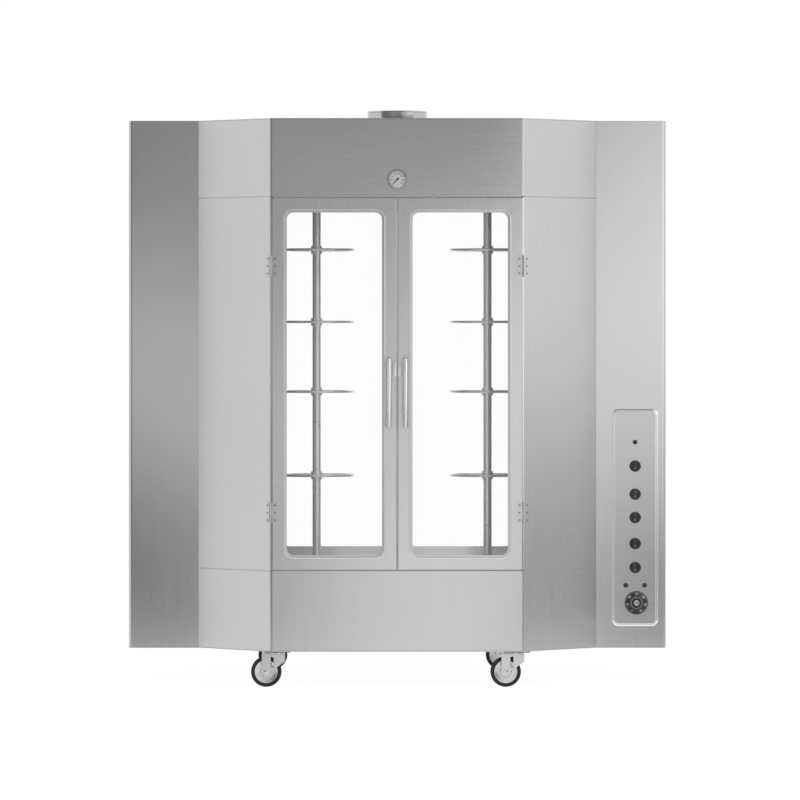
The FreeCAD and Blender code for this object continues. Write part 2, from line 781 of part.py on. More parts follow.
# Thermometer: a case with a probe, a pointer on its staff and a flush lens
def thermometer():
    face = "(front - gauge_depth)"
    seat = "(" + face + " + dial_depth)"
    z = "gauge_height"
    can = rod("GaugeCan", "gauge_radius", "gauge_depth", ("0", "front", z), ahead)
    probe = rod("GaugeProbe", "probe_radius", "probe_length", ("0", "front", z), back)
    recess = rod("GaugeRecess", "gauge_radius - gauge_rim", "dial_depth", ("0", face, z), back)
    hole = rod("StaffHole", "staff_radius + pin_clear", "gauge_depth - dial_depth - skin", ("0", seat, z),
               back)
    node(cut("GaugeCase", fuse("GaugeSolid", [can, probe]), fuse("GaugeCuts", [recess, hole])), "gauge_case")
    node(rod("GaugeLens", "gauge_radius - gauge_rim", "lens_thick", ("0", face, z), back), "gauge_lens")
    needle = doc.addObject("Part::Box", "Needle")
    needle.Placement = Placement(Vector(), Rotation(Vector(0, 1, 0), 135))
    bind(needle, "Length", "pointer_length")
    bind(needle, "Width", "pointer_thick")
    bind(needle, "Height", "pointer_width")
    needle_y = "(" + seat + " - 2 * pointer_thick)"
    place(needle, "-pointer_width / 2 * cos(45)", needle_y, "pointer_width / 2 * cos(45) + gauge_height")
    cap = rod("PointerCap", "pointer_width", "pointer_thick", ("0", needle_y, z), back)
    staff = rod("Staff", "staff_radius", "gauge_depth - dial_depth - 2 * pointer_thick", ("0", needle_y, z),
                back)
    node(fuse("GaugePointer", [needle, cap, staff]), "gauge_pointer")


# Control panel: plate, knobs, thermostat, lamps and the switches behind
knob_heights = ("knob_one", "knob_two", "knob_three", "knob_four", "knob_five")


def turning_knob(name, x, z, radius, depth):
    grip_back = "(plate_front - knob_lift)"
    grip = rod(name + "Grip", radius, depth, (x, grip_back, z), ahead)
    spindle = rod(name + "Spindle", "spindle_radius", "spindle_length", (x, grip_back, z), back)
    return fuse(name, [grip, spindle])


def switch(name, x, z):
    low = (x + " - switch_width / 2", "column_front", z + " - switch_width / 2")
    case = box(name + "Case", low, ("switch_width", "switch_depth", "switch_width"))
    bore = rod(name + "Bore", "spindle_radius + spindle_clear", "spindle_length",
               (x, "column_front - skin", z), back)
    return cut(name, case, bore)


def control_panel():
    spots = [("panel_mid", z) for z in knob_heights] + [("thermostat_x", "thermostat_height")]
    holes = []
    for i, (x, z) in enumerate(spots):
        start = (x, "plate_front - skin", z)
        holes.append(rod("PlateHole" + str(i), "spindle_radius + spindle_clear", "plate_thick + 2 * skin",
                         start, back))
    block = rounded("PanelBlock", "panel_mid", "panel_low", "panel_width", "panel_height", "panel_radius",
                    "column_front", "plate_thick")
    node(cut("PanelPlate", block, fuse("PlateHoles", holes)), "control_plate")
    for i, z in enumerate(knob_heights):
        label = "switch_knob_" + str(i + 1)
        node(turning_knob("Knob" + str(i), "panel_mid", z, "knob_radius", "knob_depth"), label)
    node(turning_knob("Thermostat", "thermostat_x", "thermostat_height", "thermostat_radius",
                      "thermostat_depth"),
         "thermostat_dial")
    node(group("Switches", [switch("Switch" + str(i), x, z) for i, (x, z) in enumerate(spots)]),
         "switch_bodies")
    lamps = [
        ("panel_mid", "indicator_height"),
        ("panel_mid - lamp_spread", "lamp_height"),
        ("panel_mid + lamp_spread", "lamp_height"),
    ]
    caps = [rod("Lamp" + str(i), "lamp_radius", "lamp_depth", (x, "plate_front", z), ahead) for i,
            (x, z) in enumerate(lamps)]
    node(group("Lamps", caps), "indicator_lamps")


# Casters: plates bolted under the base, forks that swivel on kingpins, wheels on axles


def caster_fork(name, x, y):
    """A swivel head whose cheeks narrow down to a round end at the axle."""
    axle_x = "(" + x + " - caster_trail)"
    race = rod(name + "Race", "race_radius", "race_height", (x, y, "race_low"))
    near = "(" + axle_x + " - fork_width / 2)"
    far = "(" + x + " + race_radius)"
    leg = "(" + axle_x + " + fork_width / 2)"
    crown_low_y = y + " - cheek - fork_thick"
    spans = (far + " - " + near, "2 * cheek + 2 * fork_thick", "fork_thick")
    pieces = [race, box(name + "Crown", (near, crown_low_y, "crown_low"), spans)]
    axle_z = "wheel_size / 2"
    corners = [(near, axle_z), (leg, axle_z), (far, "crown_low - skirt_drop"), (far, "crown_low"),
               (near, "crown_low")]
    for i, back_y in enumerate((y + " - cheek", y + " + cheek + fork_thick")):
        cheek_plate = outline(name + "Cheek" + str(i), "XZ_Plane", corners, "fork_thick")
        bind(cheek_plate, "Placement.Base.y", back_y)
        pieces.append(cheek_plate)
        pieces.append(rod(name + "End" + str(i), "fork_width / 2", "fork_thick", (axle_x, back_y, axle_z),
                          ahead))
    axle_start = (axle_x, crown_low_y, axle_z)
    pieces.append(rod(name + "Axle", "axle_radius", "2 * cheek + 2 * fork_thick", axle_start, back))
    bore = rod(name + "Bore", "kingpin_radius + axle_clear", "4 * race_height",
               (x, y, "crown_low - race_height"))
    slot_start = (leg + " + slot_inset", crown_low_y + " - fork_thick", "slot_low")
    slot_spans = ("slot_width", "2 * cheek + 4 * fork_thick", "crown_low - fork_thick - slot_low")
    slot = box(name + "Slot", slot_start, slot_spans)
    return cut(name, fuse(name + "Solid", pieces), fuse(name + "Cuts", [bore, slot]))


def caster_wheel(name, x, y):
    axle_x = "(" + x + " - caster_trail)"
    start = (axle_x, y + " - wheel_width / 2", "wheel_size / 2")
    tyre = rod(name + "Tyre", "wheel_size / 2", "wheel_width", start, back)
    bore_start = (axle_x, y + " - wheel_width", "wheel_size / 2")
    bore = rod(name + "Bore", "axle_radius + axle_clear", "2 * wheel_width", bore_start, back)
    return cut(name, tyre, bore)


def casters():
    plates = []
    for along, y in (("front", "caster_front"), ("rear", "caster_rear")):
        for hand, x in (("left", "(-caster_half)"), ("right", "caster_half")):
            tag = along.title() + hand.title()
            plate = box(tag + "Plate", (x + " - caster_plate / 2", y + " - caster_plate / 2", "plate_low"),
                        ("caster_plate", "caster_plate", "caster_plate_thick"))
            kingpin = rod(tag + "Kingpin", "kingpin_radius", "plate_low - crown_low", (x, y, "crown_low"))
            plates.append(fuse(tag + "Top", [plate, kingpin]))
            node(caster_fork(tag + "Fork", x, y), along + "_" + hand + "_caster_fork")
            node(caster_wheel(tag + "Wheel", x, y), along + "_" + hand + "_caster_wheel")
    node(group("CasterPlates", plates), "caster_plates")


base_frame()
core_plates()
core_front()
pair(front_diagonals, "diagonal_panels")
core_rear()
columns()
doors()
hinges()
rotors()
pair(heater, "heating_element")
thermometer()
control_panel()
casters()
doc.recompute()

for thing in doc.Objects:
    if "Invalid" in thing.State or "Error" in thing.State:
        raise RuntimeError(thing.Label + " did not compute")
for thing in nodes:
    if thing.Shape.isNull() or not thing.Shape.isValid():
        raise RuntimeError(thing.Label + " has no valid shape")

os.makedirs("parts", exist_ok=True)
for thing in nodes:
    thing.Shape.exportStep("parts/" + thing.Label + ".step")
    print(thing.Label, len(thing.Shape.Solids), round(thing.Shape.Volume / 1000, 1))
print(len(nodes), "nodes")
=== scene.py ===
import math
import bmesh
import bpy
from mathutils import Matrix, Vector


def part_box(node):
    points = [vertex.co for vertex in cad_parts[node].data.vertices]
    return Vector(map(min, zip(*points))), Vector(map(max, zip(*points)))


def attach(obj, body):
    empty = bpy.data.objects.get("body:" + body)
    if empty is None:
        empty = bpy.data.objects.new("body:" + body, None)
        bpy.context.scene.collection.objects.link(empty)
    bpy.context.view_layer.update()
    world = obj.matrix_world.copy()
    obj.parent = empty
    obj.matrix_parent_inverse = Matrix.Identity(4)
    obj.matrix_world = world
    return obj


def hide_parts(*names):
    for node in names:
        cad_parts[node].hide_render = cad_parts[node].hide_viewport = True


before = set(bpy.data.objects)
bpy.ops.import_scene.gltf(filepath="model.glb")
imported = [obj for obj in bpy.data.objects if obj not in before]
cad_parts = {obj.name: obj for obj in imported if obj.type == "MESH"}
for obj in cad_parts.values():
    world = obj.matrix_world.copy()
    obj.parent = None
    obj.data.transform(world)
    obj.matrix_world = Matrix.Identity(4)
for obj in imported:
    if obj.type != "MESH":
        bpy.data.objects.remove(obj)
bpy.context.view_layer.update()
print("frame loaded with", len(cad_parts), "nodes")


# Node maths: a Wire is a socket that takes part in Python sums
def nodeSum(operation, swapped=False):
    def reckon(self, other=0.0):
        first, second = (other, self) if swapped else (self, other)
        return self.nodes.wire("ShaderNodeMath", {0: first, 1: second}, operation=operation)
    return reckon


class Wire:
    __add__, __radd__ = nodeSum("ADD"), nodeSum("ADD", True)
    __sub__, __rsub__ = nodeSum("SUBTRACT"), nodeSum("SUBTRACT", True)
    __mul__, __truediv__ = nodeSum("MULTIPLY"), nodeSum("DIVIDE")
    most, above, left = nodeSum("MAXIMUM"), nodeSum("GREATER_THAN"), nodeSum("MODULO")
    sine, cosine, arctangent = nodeSum("SINE"), nodeSum("COSINE"), nodeSum("ARCTANGENT")

    def __init__(self, nodes, socket):
        self.nodes = nodes
        self.socket = socket


class Nodes:
    def __init__(self, tree):
        self.tree = tree

    def add(self, kind, values, **settings):
        made = self.tree.nodes.new(kind)
        for key, value in settings.items():
            setattr(made, key, value)
        for key, value in values.items():
            self.feed(made.inputs[key], value)
        return made

    def feed(self, socket, value):
        if isinstance(value, Wire):
            self.tree.links.new(value.socket, socket)
        else:
            socket.default_value = value

    def wire(self, kind, values, output=0, **settings):
        return Wire(self, self.add(kind, values, **settings).outputs[output])

    def vector(self, **values):
        return self.wire("ShaderNodeCombineXYZ", values)

    def seenRays(self):  # camera, mirrored and see-through rays
        path = self.add("ShaderNodeLightPath", {}).outputs
        camera, mirrored, through = [Wire(self, path["Is " + kind + " Ray"])
                                     for kind in ("Camera", "Glossy", "Transmission")]
        return camera.most(mirrored).most(through)


class Paint(Nodes):
    def __init__(self, name):
        self.material = bpy.data.materials.new(name)
        self.material.use_nodes = True
        super().__init__(self.material.node_tree)
        self.shader = self.tree.nodes["Principled BSDF"]
        self.spot = self.wire("ShaderNodeTexCoord", {}, "Object")

    def set(self, **values):
        for key, value in values.items():
            self.feed(self.shader.inputs[key.replace("_", " ")], value)

    def surface(self, shader):
        self.feed(self.tree.nodes["Material Output"].inputs["Surface"], shader)

    def noise(self, stretch, scale, detail):
        spot = self.wire("ShaderNodeMapping", {"Vector": self.spot, "Scale": stretch})
        return self.wire("ShaderNodeTexNoise", {"Vector": spot, "Scale": scale, "Detail": detail})

    def blend(self, factor, first, second):
        return self.wire("ShaderNodeMix", {0: factor, 6: first, 7: second}, 2, data_type="RGBA")

    def between(self, value, low, high):
        return self.wire("ShaderNodeMapRange", {0: value, 1: low, 2: high, 3: 0.0, 4: 1.0})

    def bump(self, height, strength, distance):
        self.set(Normal=self.wire("ShaderNodeBump", {
            "Strength": strength, "Distance": distance, "Height": height}))


def newObject(name, data):
    made = bpy.data.objects.new(name, data)
    bpy.context.scene.collection.objects.link(made)
    return made


def evaluatedMesh(holder):
    seen = holder.evaluated_get(bpy.context.evaluated_depsgraph_get())
    return bpy.data.meshes.new_from_object(seen)


# Geometry Nodes for what repeats: marked spots or a counted ring in, one plain mesh out
class Repeat(Nodes):
    def __init__(self, name, sizes):
        super().__init__(bpy.data.node_groups.new(name, "GeometryNodeTree"))
        face = self.tree.interface
        face.new_socket("Geometry", in_out="INPUT", socket_type="NodeSocketGeometry")
        for label, value in sizes.items():
            kind = "NodeSocketInt" if isinstance(value, int) else "NodeSocketFloat"
            face.new_socket(label, in_out="INPUT", socket_type=kind)
        face.new_socket("Geometry", in_out="OUTPUT", socket_type="NodeSocketGeometry")
        self.inputs = self.tree.nodes.new("NodeGroupInput").outputs

    def given(self, label):
        return Wire(self, self.inputs[label])

    def join(self, shapes):
        made = self.add("GeometryNodeJoinGeometry", {})
        for shape in shapes:
            self.feed(made.inputs[0], shape)
        return Wire(self, made.outputs[0])

    def close(self, shape):
        solid = self.wire("GeometryNodeRealizeInstances", {0: shape})
        self.feed(self.tree.nodes.new("NodeGroupOutput").inputs[0], solid)

    def mesh(self, name, sizes, spots=()):
        carrierMesh = bpy.data.meshes.new(name + "Spots")
        carrierMesh.from_pydata([spot[0] for spot in spots], [], [])
        carrierMesh.attributes.new("aim", "FLOAT_VECTOR", "POINT")
        carrierMesh.attributes.new("grow", "FLOAT", "POINT")
        for i, (place, direction, size) in enumerate(spots):
            carrierMesh.attributes["aim"].data[i].vector = direction
            carrierMesh.attributes["grow"].data[i].value = size
        carrier = newObject(name + "Spots", carrierMesh)
        modifier = carrier.modifiers.new("repeat", "NODES")
        modifier.node_group = self.tree
        for item in self.tree.interface.items_tree:
            if item.in_out == "INPUT" and item.name in sizes:
                modifier[item.identifier] = sizes[item.name]
        made = evaluatedMesh(carrier)
        carrier.modifiers.clear()
        bpy.data.objects.remove(carrier)
        return made


def grey(level, warm=0.0):
    return (level + warm, level, level - warm, 1.0)


# Finishes: noise stretched along x, y and z, then its scale and detail
even = (1.0, 1.0, 1.0)
upright = (260.0, 260.0, 5.0)  # grain runs up the panels
across = (5.0, 260.0, 260.0)  # grain runs across a plate
scratched = (60.0, 60.0, 900.0)
brushed = {
    "warm": 0.004, "dark": 0.955, "pale": 1.03, "clouds": 1.7, "grainShare": 0.7, "low": 0.3, "high": 0.7,
}


def brushedSteel(name, level, grain, rough):
    paint = Paint(name)
    lines, clouds = paint.noise(grain, 1.0, 4.0), paint.noise(even, brushed["clouds"], 2.0)
    mixed = lines * brushed["grainShare"] + clouds * (1.0 - brushed["grainShare"])
    dark, pale = [grey(level * brushed[end], brushed["warm"]) for end in ("dark", "pale")]
    paint.set(Base_Color=paint.blend(paint.between(mixed, brushed["low"], brushed["high"]), dark, pale))
    paint.set(Roughness=rough - 0.04 + lines * 0.1, Metallic=1.0)
    paint.bump(lines, 0.04, 0.0003)
    return paint.material


def polishedSteel(name, level, rough, metal=1.0):
    paint = Paint(name)
    smear, scratch = paint.noise(even, 9.0, 3.0), paint.noise(scratched, 1.0, 2.0)
    paint.set(Base_Color=paint.blend(smear, grey(level * 0.94), grey(level * 1.04)))
    paint.set(Roughness=rough + smear * 0.06 + scratch * 0.03, Metallic=metal)
    paint.bump(scratch, 0.03, 0.0002)
    return paint.material


def moulded(name, colour, rough, pitch=900.0, dust=0.25):
    paint = Paint(name)
    pores, wear = paint.noise(even, pitch, 2.0), paint.noise(even, 35.0, 3.0)
    worn = tuple(channel + 0.12 * dust for channel in colour) + (1.0,)
    paint.set(Base_Color=paint.blend(paint.between(wear, 0.45, 0.75), colour + (1.0,), worn))
    paint.set(Roughness=rough - 0.06 + wear * 0.12)
    paint.bump(pores, 0.12, 0.0003)
    return paint.material


def clearGlass(name, alpha):
    paint = Paint(name)
    film = paint.noise((1.0, 1.0, 0.4), 5.0, 3.0)
    paint.set(Base_Color=(0.93, 0.96, 0.95, 1.0), Alpha=alpha * 0.7 + film * alpha * 0.6)
    paint.set(Roughness=0.02 + film * 0.03, IOR=1.5)
    return paint.material


def oxidised(name, dark, pale, rough):
    paint = Paint(name)
    scale = paint.noise(even, 40.0, 5.0)
    paint.set(Base_Color=paint.blend(paint.between(scale, 0.35, 0.7), dark + (1.0,), pale + (1.0,)))
    paint.set(Roughness=rough - 0.1 + scale * 0.2, Metallic=0.8)
    paint.bump(scale, 0.15, 0.0005)
    return paint.material


finishTable = {
    brushedSteel: {
        "panel": ("panelSteel", 0.59, upright, 0.28),
        "header": ("headerSteel", 0.57, across, 0.27),
        "door": ("doorSteel", 0.6, upright, 0.27),
        "inner": ("liningSteel", 0.5, upright, 0.4),
        "plate": ("controlSteel", 0.55, across, 0.3),
        "roof": ("roofSteel", 0.56, across, 0.34),
        "pan": ("panSteel", 0.9, across, 0.25),
        "sill": ("sillSteel", 0.72, across, 0.25),
        # the panel steel at a higher level, for the hinge strips: a painted highlight on the corner fold
        "strip": ("stripSteel", 0.84, upright, 0.28),
    },
    polishedSteel: {
        "bright": ("brightTrim", 0.78, 0.12),
        "rotor": ("rotorSteel", 0.95, 0.24, 0.6),  # under a film of fat
        "bead": ("beadSteel", 0.88, 0.18),
        # lip and return are one bead steel: the lighter lip is a painted highlight, the darker return painted
        # shade
        "lip": ("lipSteel", 0.8, 0.4),
        "return": ("returnSteel", 0.58, 0.3),
        "bezel": ("bezelSteel", 0.4, 0.24),
        "hinge": ("hingeSteel", 0.58, 0.28),
        "screw": ("screwSteel", 0.2, 0.3),
        "zinc": ("zincPlate", 0.62, 0.24),
        "flue": ("flueSteel", 0.52, 0.12),
        "latch": ("latchSteel", 0.74, 0.3),
    },
    clearGlass: {
        "glass": ("doorPane", 0.012),
        "lens": ("gaugeLens", 0.02),
    },
    moulded: {
        "black": ("knobBlack", (0.008, 0.008, 0.009), 0.34),
        "rubber": ("tyreRubber", (0.005, 0.005, 0.005), 0.66, 500.0, 0.12),
        "switch": ("switchCase", (0.04, 0.04, 0.045), 0.5),
        "seal": ("doorSeal", (0.27, 0.27, 0.265), 0.7, 300.0),
        "red": ("pointerRed", (0.09, 0.01, 0.009), 0.4, 400.0, 0.05),
        # an index mark that also serves as a painted highlight for the knob's glossy spot
        "mark": ("knobMark", (0.11, 0.11, 0.11), 0.4, 400.0),
        "white": ("scaleWhite", (0.72, 0.72, 0.7), 0.5, 400.0),
        "ink": ("scaleInk", (0.02, 0.02, 0.022), 0.5, 400.0),
        "face": ("dialFace", (0.42, 0.41, 0.42), 0.45, 300.0),
    },
    oxidised: {
        "chain": ("chainSteel", (0.05, 0.05, 0.055), (0.16, 0.15, 0.14), 0.5),
        "motor": ("motorPaint", (0.1, 0.12, 0.14), (0.15, 0.17, 0.19), 0.45),
        "sheath": ("elementSheath", (0.06, 0.05, 0.045), (0.2, 0.17, 0.15), 0.5),
    },
}
finish = {kind: maker(*values) for maker, kinds in finishTable.items() for kind, values in kinds.items()}
print("finishes made:", len(finish))


# Mesh helpers
edgeShape = {"sameSpot": 1e-6, "smoothAngle": 35.0, "weld": 1e-5, "bevelAngle": 40.0, "bevelSegments": 2}


def meshFrom(form, name):
    bmesh.ops.remove_doubles(form, verts=form.verts, dist=edgeShape["sameSpot"])
    bmesh.ops.recalc_face_normals(form, faces=form.faces)
    for face in form.faces:
        face.smooth = True
    for edge in form.edges:
        if len(edge.link_faces) == 2 and edge.calc_face_angle(0.0) > math.radians(edgeShape["smoothAngle"]):
            edge.smooth = False
    mesh = bpy.data.meshes.new(name)
    form.to_mesh(mesh)
    form.free()
    return mesh


def paintMesh(mesh, kind):
    mesh.materials.clear()
    mesh.materials.append(finish[kind])


def addPiece(name, shape, kind, body, replaced=()):
    mesh = shape if isinstance(shape, bpy.types.Mesh) else meshFrom(shape, name)
    piece = newObject(name, mesh)
    paintMesh(mesh, kind)
    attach(piece, body)
    if replaced:
        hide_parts(*replaced)
    return piece


def scaled(profile, radius, height):  # a profile in shares of a radius and a height
    return [(share * radius, rise * height) for share, rise in profile]


def mirrored(half, width):  # a profile closed with its own mirror image
    return half + [(radius, width - height) for radius, height in reversed(half)] + [half[0]]


def arc(start, turn, steps=6):
    return [start + turn * i / steps for i in range(steps + 1)]


def middleOf(node):
    low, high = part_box(node)
    return (low + high) / 2


def frameAlong(direction):
    along = Vector(direction).normalized()
    aside = along.orthogonal().normalized()
    return Matrix((aside, along.cross(aside), along)).transposed()


def bridge(form, low, high):  # faces between two closed rings, either of which may be a point
    count = max(len(low), len(high))
    for i in range(count):
        j = (i + 1) % count
        if len(low) == 1:
            form.faces.new((low[0], high[i], high[j]))
        elif len(high) == 1:
            form.faces.new((low[i], low[j], high[0]))
        else:
            form.faces.new((low[i], low[j], high[j], high[i]))


def lathe(form, profile, origin, direction, steps=64):
    turn = frameAlong(direction)
    rings = []
    for radius, height in profile:
        angles = [2 * math.pi * i / steps for i in range(steps if radius > edgeShape["sameSpot"] else 1)]
        spots = [Vector((radius * math.cos(angle), radius * math.sin(angle), height)) for angle in angles]
        rings.append([form.verts.new(Vector(origin) + turn @ spot) for spot in spots])
    for low, high in zip(rings, rings[1:]):
        bridge(form, low, high)


def roundBar(form, radius, start, length, along, dome, steps=48):
    end = [(radius * math.sin(angle), dome * (1 - math.cos(angle))) for angle in arc(0.0, math.pi / 2)]
    lathe(form, end + [(r, length - h) for r, h in reversed(end)], start, along, steps)


def roundedRect(low, high, radius, arcSteps=10):
    middle = (low + high) / 2
    path = []
    for signX, signZ, start in ((1, 1, 0.0), (-1, 1, 0.5), (-1, -1, 1.0), (1, -1, 1.5)):
        cx = middle.x + signX * ((high.x - low.x) / 2 - radius)
        cz = middle.z + signZ * ((high.z - low.z) / 2 - radius)
        for i in range(arcSteps + 1):
            angle = math.pi * (start + 0.5 * i / arcSteps)
            path.append((cx, cz, math.cos(angle), math.sin(angle), radius))
    return path


def sweepRect(form, path, profile, faceY, outward):
    rings = []
    for cx, cz, dx, dz, radius in path:
        spots = [(cx + dx * (radius + run), faceY + outward * rise, cz + dz * (radius + run))
                 for run, rise in profile]
        rings.append([form.verts.new(spot) for spot in spots])
    for ring, after in zip(rings, rings[1:] + rings[:1]):
        bridge(form, ring, after)


def block(form, low, high, inset=0.0):
    made = bmesh.ops.create_cube(form, size=1.0)
    low, high = Vector(low), Vector(high)
    for vert in made["verts"]:
        spot = vert.co + Vector((0.5, 0.5, 0.5))
        vert.co = Vector([low[i] + spot[i] * (high[i] - low[i]) for i in range(3)])
    if inset:
        edges = list({edge for vert in made["verts"] for edge in vert.link_edges})
        bmesh.ops.bevel(form, geom=edges, offset=inset, segments=edgeShape["bevelSegments"], affect="EDGES",
                        profile=0.5)


def halfRound(width, rise):
    half = width / 2
    return [(half - half * math.cos(angle), rise * math.sin(angle)) for angle in arc(0.0, math.pi, 8)]


# CAD nodes that keep their shape get a finish and softly broken edges
sides = {"left": -1, "right": 1}  # with the sign of x
corners = ("front_left", "front_right", "rear_left", "rear_right")


def pairs(*names):
    return [side + "_" + name for name in names for side in sides]


nodeFinish = {
    "header": ["front_header"],
    "panel": ["front_apron", *pairs("diagonal_panels", "column"), "rear_diagonal_panels", "rear_panel",
              "base_frame"],
    "door": pairs("door_frame"),
    "inner": ["side_walls"],
    "roof": ["roof_panel", "ceiling_panel"],
    "pan": ["floor_pan"],
    "plate": ["control_plate"],
    "rotor": pairs("rotor_shaft", "hanging_wheels"),
    "hinge": pairs("hinge_fixed_leaves", "hinge_door_leaves"),
    "zinc": [corner + "_caster_fork" for corner in corners],
    "glass": [*pairs("door_glass"), "rear_glass"],
    "lens": ["gauge_lens"],
    "chain": ["drive_chain", *pairs("sprocket"), "rotor_bearings", "caster_plates"],
    "motor": ["gearmotor"],
    "sheath": pairs("heating_element"),
    "switch": ["switch_bodies", "cable_gland"],
}
brokenEdge = {
    "panel": 0.001, "header": 0.0012, "door": 0.0025, "plate": 0.0012, "hinge": 0.0005, "zinc": 0.0008,
}


def breakEdges(node, width):
    weld = node.modifiers.new("weld", "WELD")
    weld.merge_threshold = edgeShape["weld"]
    bevel = node.modifiers.new("brokenEdge", "BEVEL")
    bevel.width = width
    bevel.segments = edgeShape["bevelSegments"]
    bevel.limit_method = "ANGLE"
    bevel.angle_limit = math.radians(edgeShape["bevelAngle"])
    weighted = node.modifiers.new("flatFaces", "WEIGHTED_NORMAL")
    weighted.keep_sharp = False
    weighted.weight = 100


def dressNodes():
    for kind, names in nodeFinish.items():
        for name in names:
            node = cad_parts[name]
            paintMesh(node.data, kind)
            if kind in brokenEdge:
                breakEdges(node, brokenEdge[kind])


dressNodes()
print("CAD nodes dressed")


# Window beads: a rounded lip outside in a lighter copy of the bead steel (painted highlight), and a return
# sloping in to the pane in a darker copy (painted shade)
beadShape = {
    "width": 0.0115, "nodeWidth": 0.009, "rise": 0.003, "corner": 0.022, "lip": 0.0055, "returnHigh": 0.55,
    "returnLow": 0.2, "rearBite": 0.008,
}


def windowBead(name, low, high, faceY, outward, body, replaced):
    rise, lip = beadShape["rise"], beadShape["lip"]
    inner = beadShape["width"] - lip
    path = roundedRect(low, high, beadShape["corner"])
    form = bmesh.new()
    sweepRect(form, path, [(inner + run, up) for run, up in halfRound(lip, rise)], faceY, outward)
    # the lip's lighter finish is a painted highlight on the bead's outer edge
    addPiece(name + "Bead", form, "lip", body, replaced)
    form = bmesh.new()
    slope = [(0, 0), (0, rise * beadShape["returnLow"]), (inner, rise * beadShape["returnHigh"]), (inner, 0)]
    sweepRect(form, path, slope, faceY, outward)
    # the return's darker finish is painted shade where the bead steps down to the pane
    addPiece(name + "Return", form, "return", body, ())


def windowBeads():
    edge = Vector((beadShape["nodeWidth"], 0, beadShape["nodeWidth"]))
    for side in sides:
        node = side + "_window_bead"
        low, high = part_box(node)
        windowBead(side + "Window", low + edge, high - edge, high.y, -1, side + "_door", (node,))
    low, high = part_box("rear_glass")
    bite = Vector((beadShape["rearBite"], 0, beadShape["rearBite"]))
    windowBead("rearWindow", low + bite, high - bite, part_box("rear_panel")[1].y, 1, "cabinet", ())


windowBeads()
print("window beads made")


# Door handles: a round-ended bar on two posts with rosettes
handleShape = {
    "postInset": 0.022, "postRadius": 0.006, "rosetteRadius": 0.0105, "rosetteRise": 0.0035, "dome": 0.005,
    "postFlare": [(1.0, 2.2), (1.12, 1.5), (1.4, 1.0)],
    "rosetteEdge": [(0.92, 1.0), (1.0, 0.7), (1.0, 0.0)],
}


def doorHandle(side):
    node = side + "_door_handle"
    low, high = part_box(node)
    radius = (high.x - low.x) / 2
    barX, barY = (low.x + high.x) / 2, low.y + radius
    form = bmesh.new()
    roundBar(form, radius, (barX, barY, low.z), high.z - low.z, (0, 0, 1), handleShape["dome"])
    reach, rise = high.y - barY, handleShape["rosetteRise"]
    thin, wide = handleShape["postRadius"], handleShape["rosetteRadius"]
    post = [(0, 0), (thin, 0)]
    post += [(thin * share, reach - back * rise) for share, back in handleShape["postFlare"]]
    post += [(wide * share, reach - back * rise) for share, back in handleShape["rosetteEdge"]]
    post.append((0, reach))
    for z in (low.z + handleShape["postInset"], high.z - handleShape["postInset"]):
        lathe(form, post, (barX, barY, z), (0, 1, 0), 40)
    addPiece(side + "DoorHandle", form, "bright", side + "_door", (node,))


for side in sides:
    doorHandle(side)
print("door handles made")


# Scales: ticks from one Geometry Nodes tree, numbers from flat text
def flatText(form, words, size, placed):
    curve = bpy.data.curves.new("number", "FONT")
    curve.body = words
    curve.size = size
    curve.align_x = curve.align_y = "CENTER"
    curve.extrude = size * 0.02
    holder = newObject("number", curve)
    flat = evaluatedMesh(holder)
    flat.transform(placed)
    form.from_mesh(flat)
    bpy.data.objects.remove(holder)
    bpy.data.curves.remove(curve)
    bpy.data.meshes.remove(flat)


def markTree(sizes):  # bars round an arc, every so many of them long, leaning with a cone
    repeat = Repeat("dialMarks", sizes)
    index = repeat.wire("GeometryNodeInputIndex", {})
    angle = repeat.given("Start Angle") - repeat.given("Sweep") * index / (repeat.given("Count") - 1.0)
    isShort = index.left(repeat.given("Long Every")).above(0.5)
    slope = repeat.given("Cone Slope")
    lean, turn = repeat.vector(Z=slope.arctangent()), repeat.vector(Y=0.0 - angle)
    rings = []
    for label, chosen in (("Long Mark", 1.0 - isShort), ("Short Mark", isShort)):
        length = repeat.given(label)
        size = repeat.vector(X=length, Y=repeat.given("Mark Height"), Z=repeat.given("Mark Width"))
        bar = repeat.wire("GeometryNodeMeshCube", {"Size": size})
        leaning = repeat.wire("GeometryNodeTransform", {"Geometry": bar, "Rotation": lean})
        reach = repeat.given("Outer Radius") - length * 0.5
        spot = repeat.vector(X=angle.cosine() * reach, Y=length * slope * -0.5, Z=angle.sine() * reach)
        points = repeat.wire("GeometryNodePoints", {"Count": repeat.given("Count"), "Position": spot})
        rings.append(repeat.wire("GeometryNodeInstanceOnPoints", {
            "Points": points, "Selection": chosen, "Instance": leaning, "Rotation": turn}))
    repeat.close(repeat.join(rings))
    return repeat


def addMarks(form, name, sizes, middle):
    made = markTree(sizes).mesh(name, sizes)
    made.transform(Matrix.Translation(middle))
    form.from_mesh(made)
    bpy.data.meshes.remove(made)


def scaleNumbers(ticks, shape):
    for i in range(shape["numbers"]):
        share = i / (shape["numbers"] - 1)
        yield str(round(shape["topNumber"] * share)), ticks["Start Angle"] - ticks["Sweep"] * share


# Thermometer: a rolled bezel, a pale face with ticks and numbers
gaugeShape = {
    "rim": [(0.9, 0), (1, 0), (1, 0.72), (0.985, 0.86), (0.95, 0.97), (0.925, 1)],
    "seat": [(1, 1), (1, 0.5), (0.985, 0.5), (0, 0.5)], "faceDeep": 0.5, "faceWide": 0.98,
    "faceThick": 0.0006, "probeRadius": 0.004, "probeDome": 0.003, "tickEdge": 0.93, "numberSize": 0.0066,
    "numberRing": 0.6, "topNumber": 350, "numbers": 8,
}
gaugeTicks = {
    "Count": 29, "Start Angle": math.radians(225.0), "Sweep": math.radians(270.0), "Long Mark": 0.0052,
    "Short Mark": 0.0028, "Mark Width": 0.0009, "Mark Height": 0.0004, "Long Every": 4, "Cone Slope": 0.0,
}


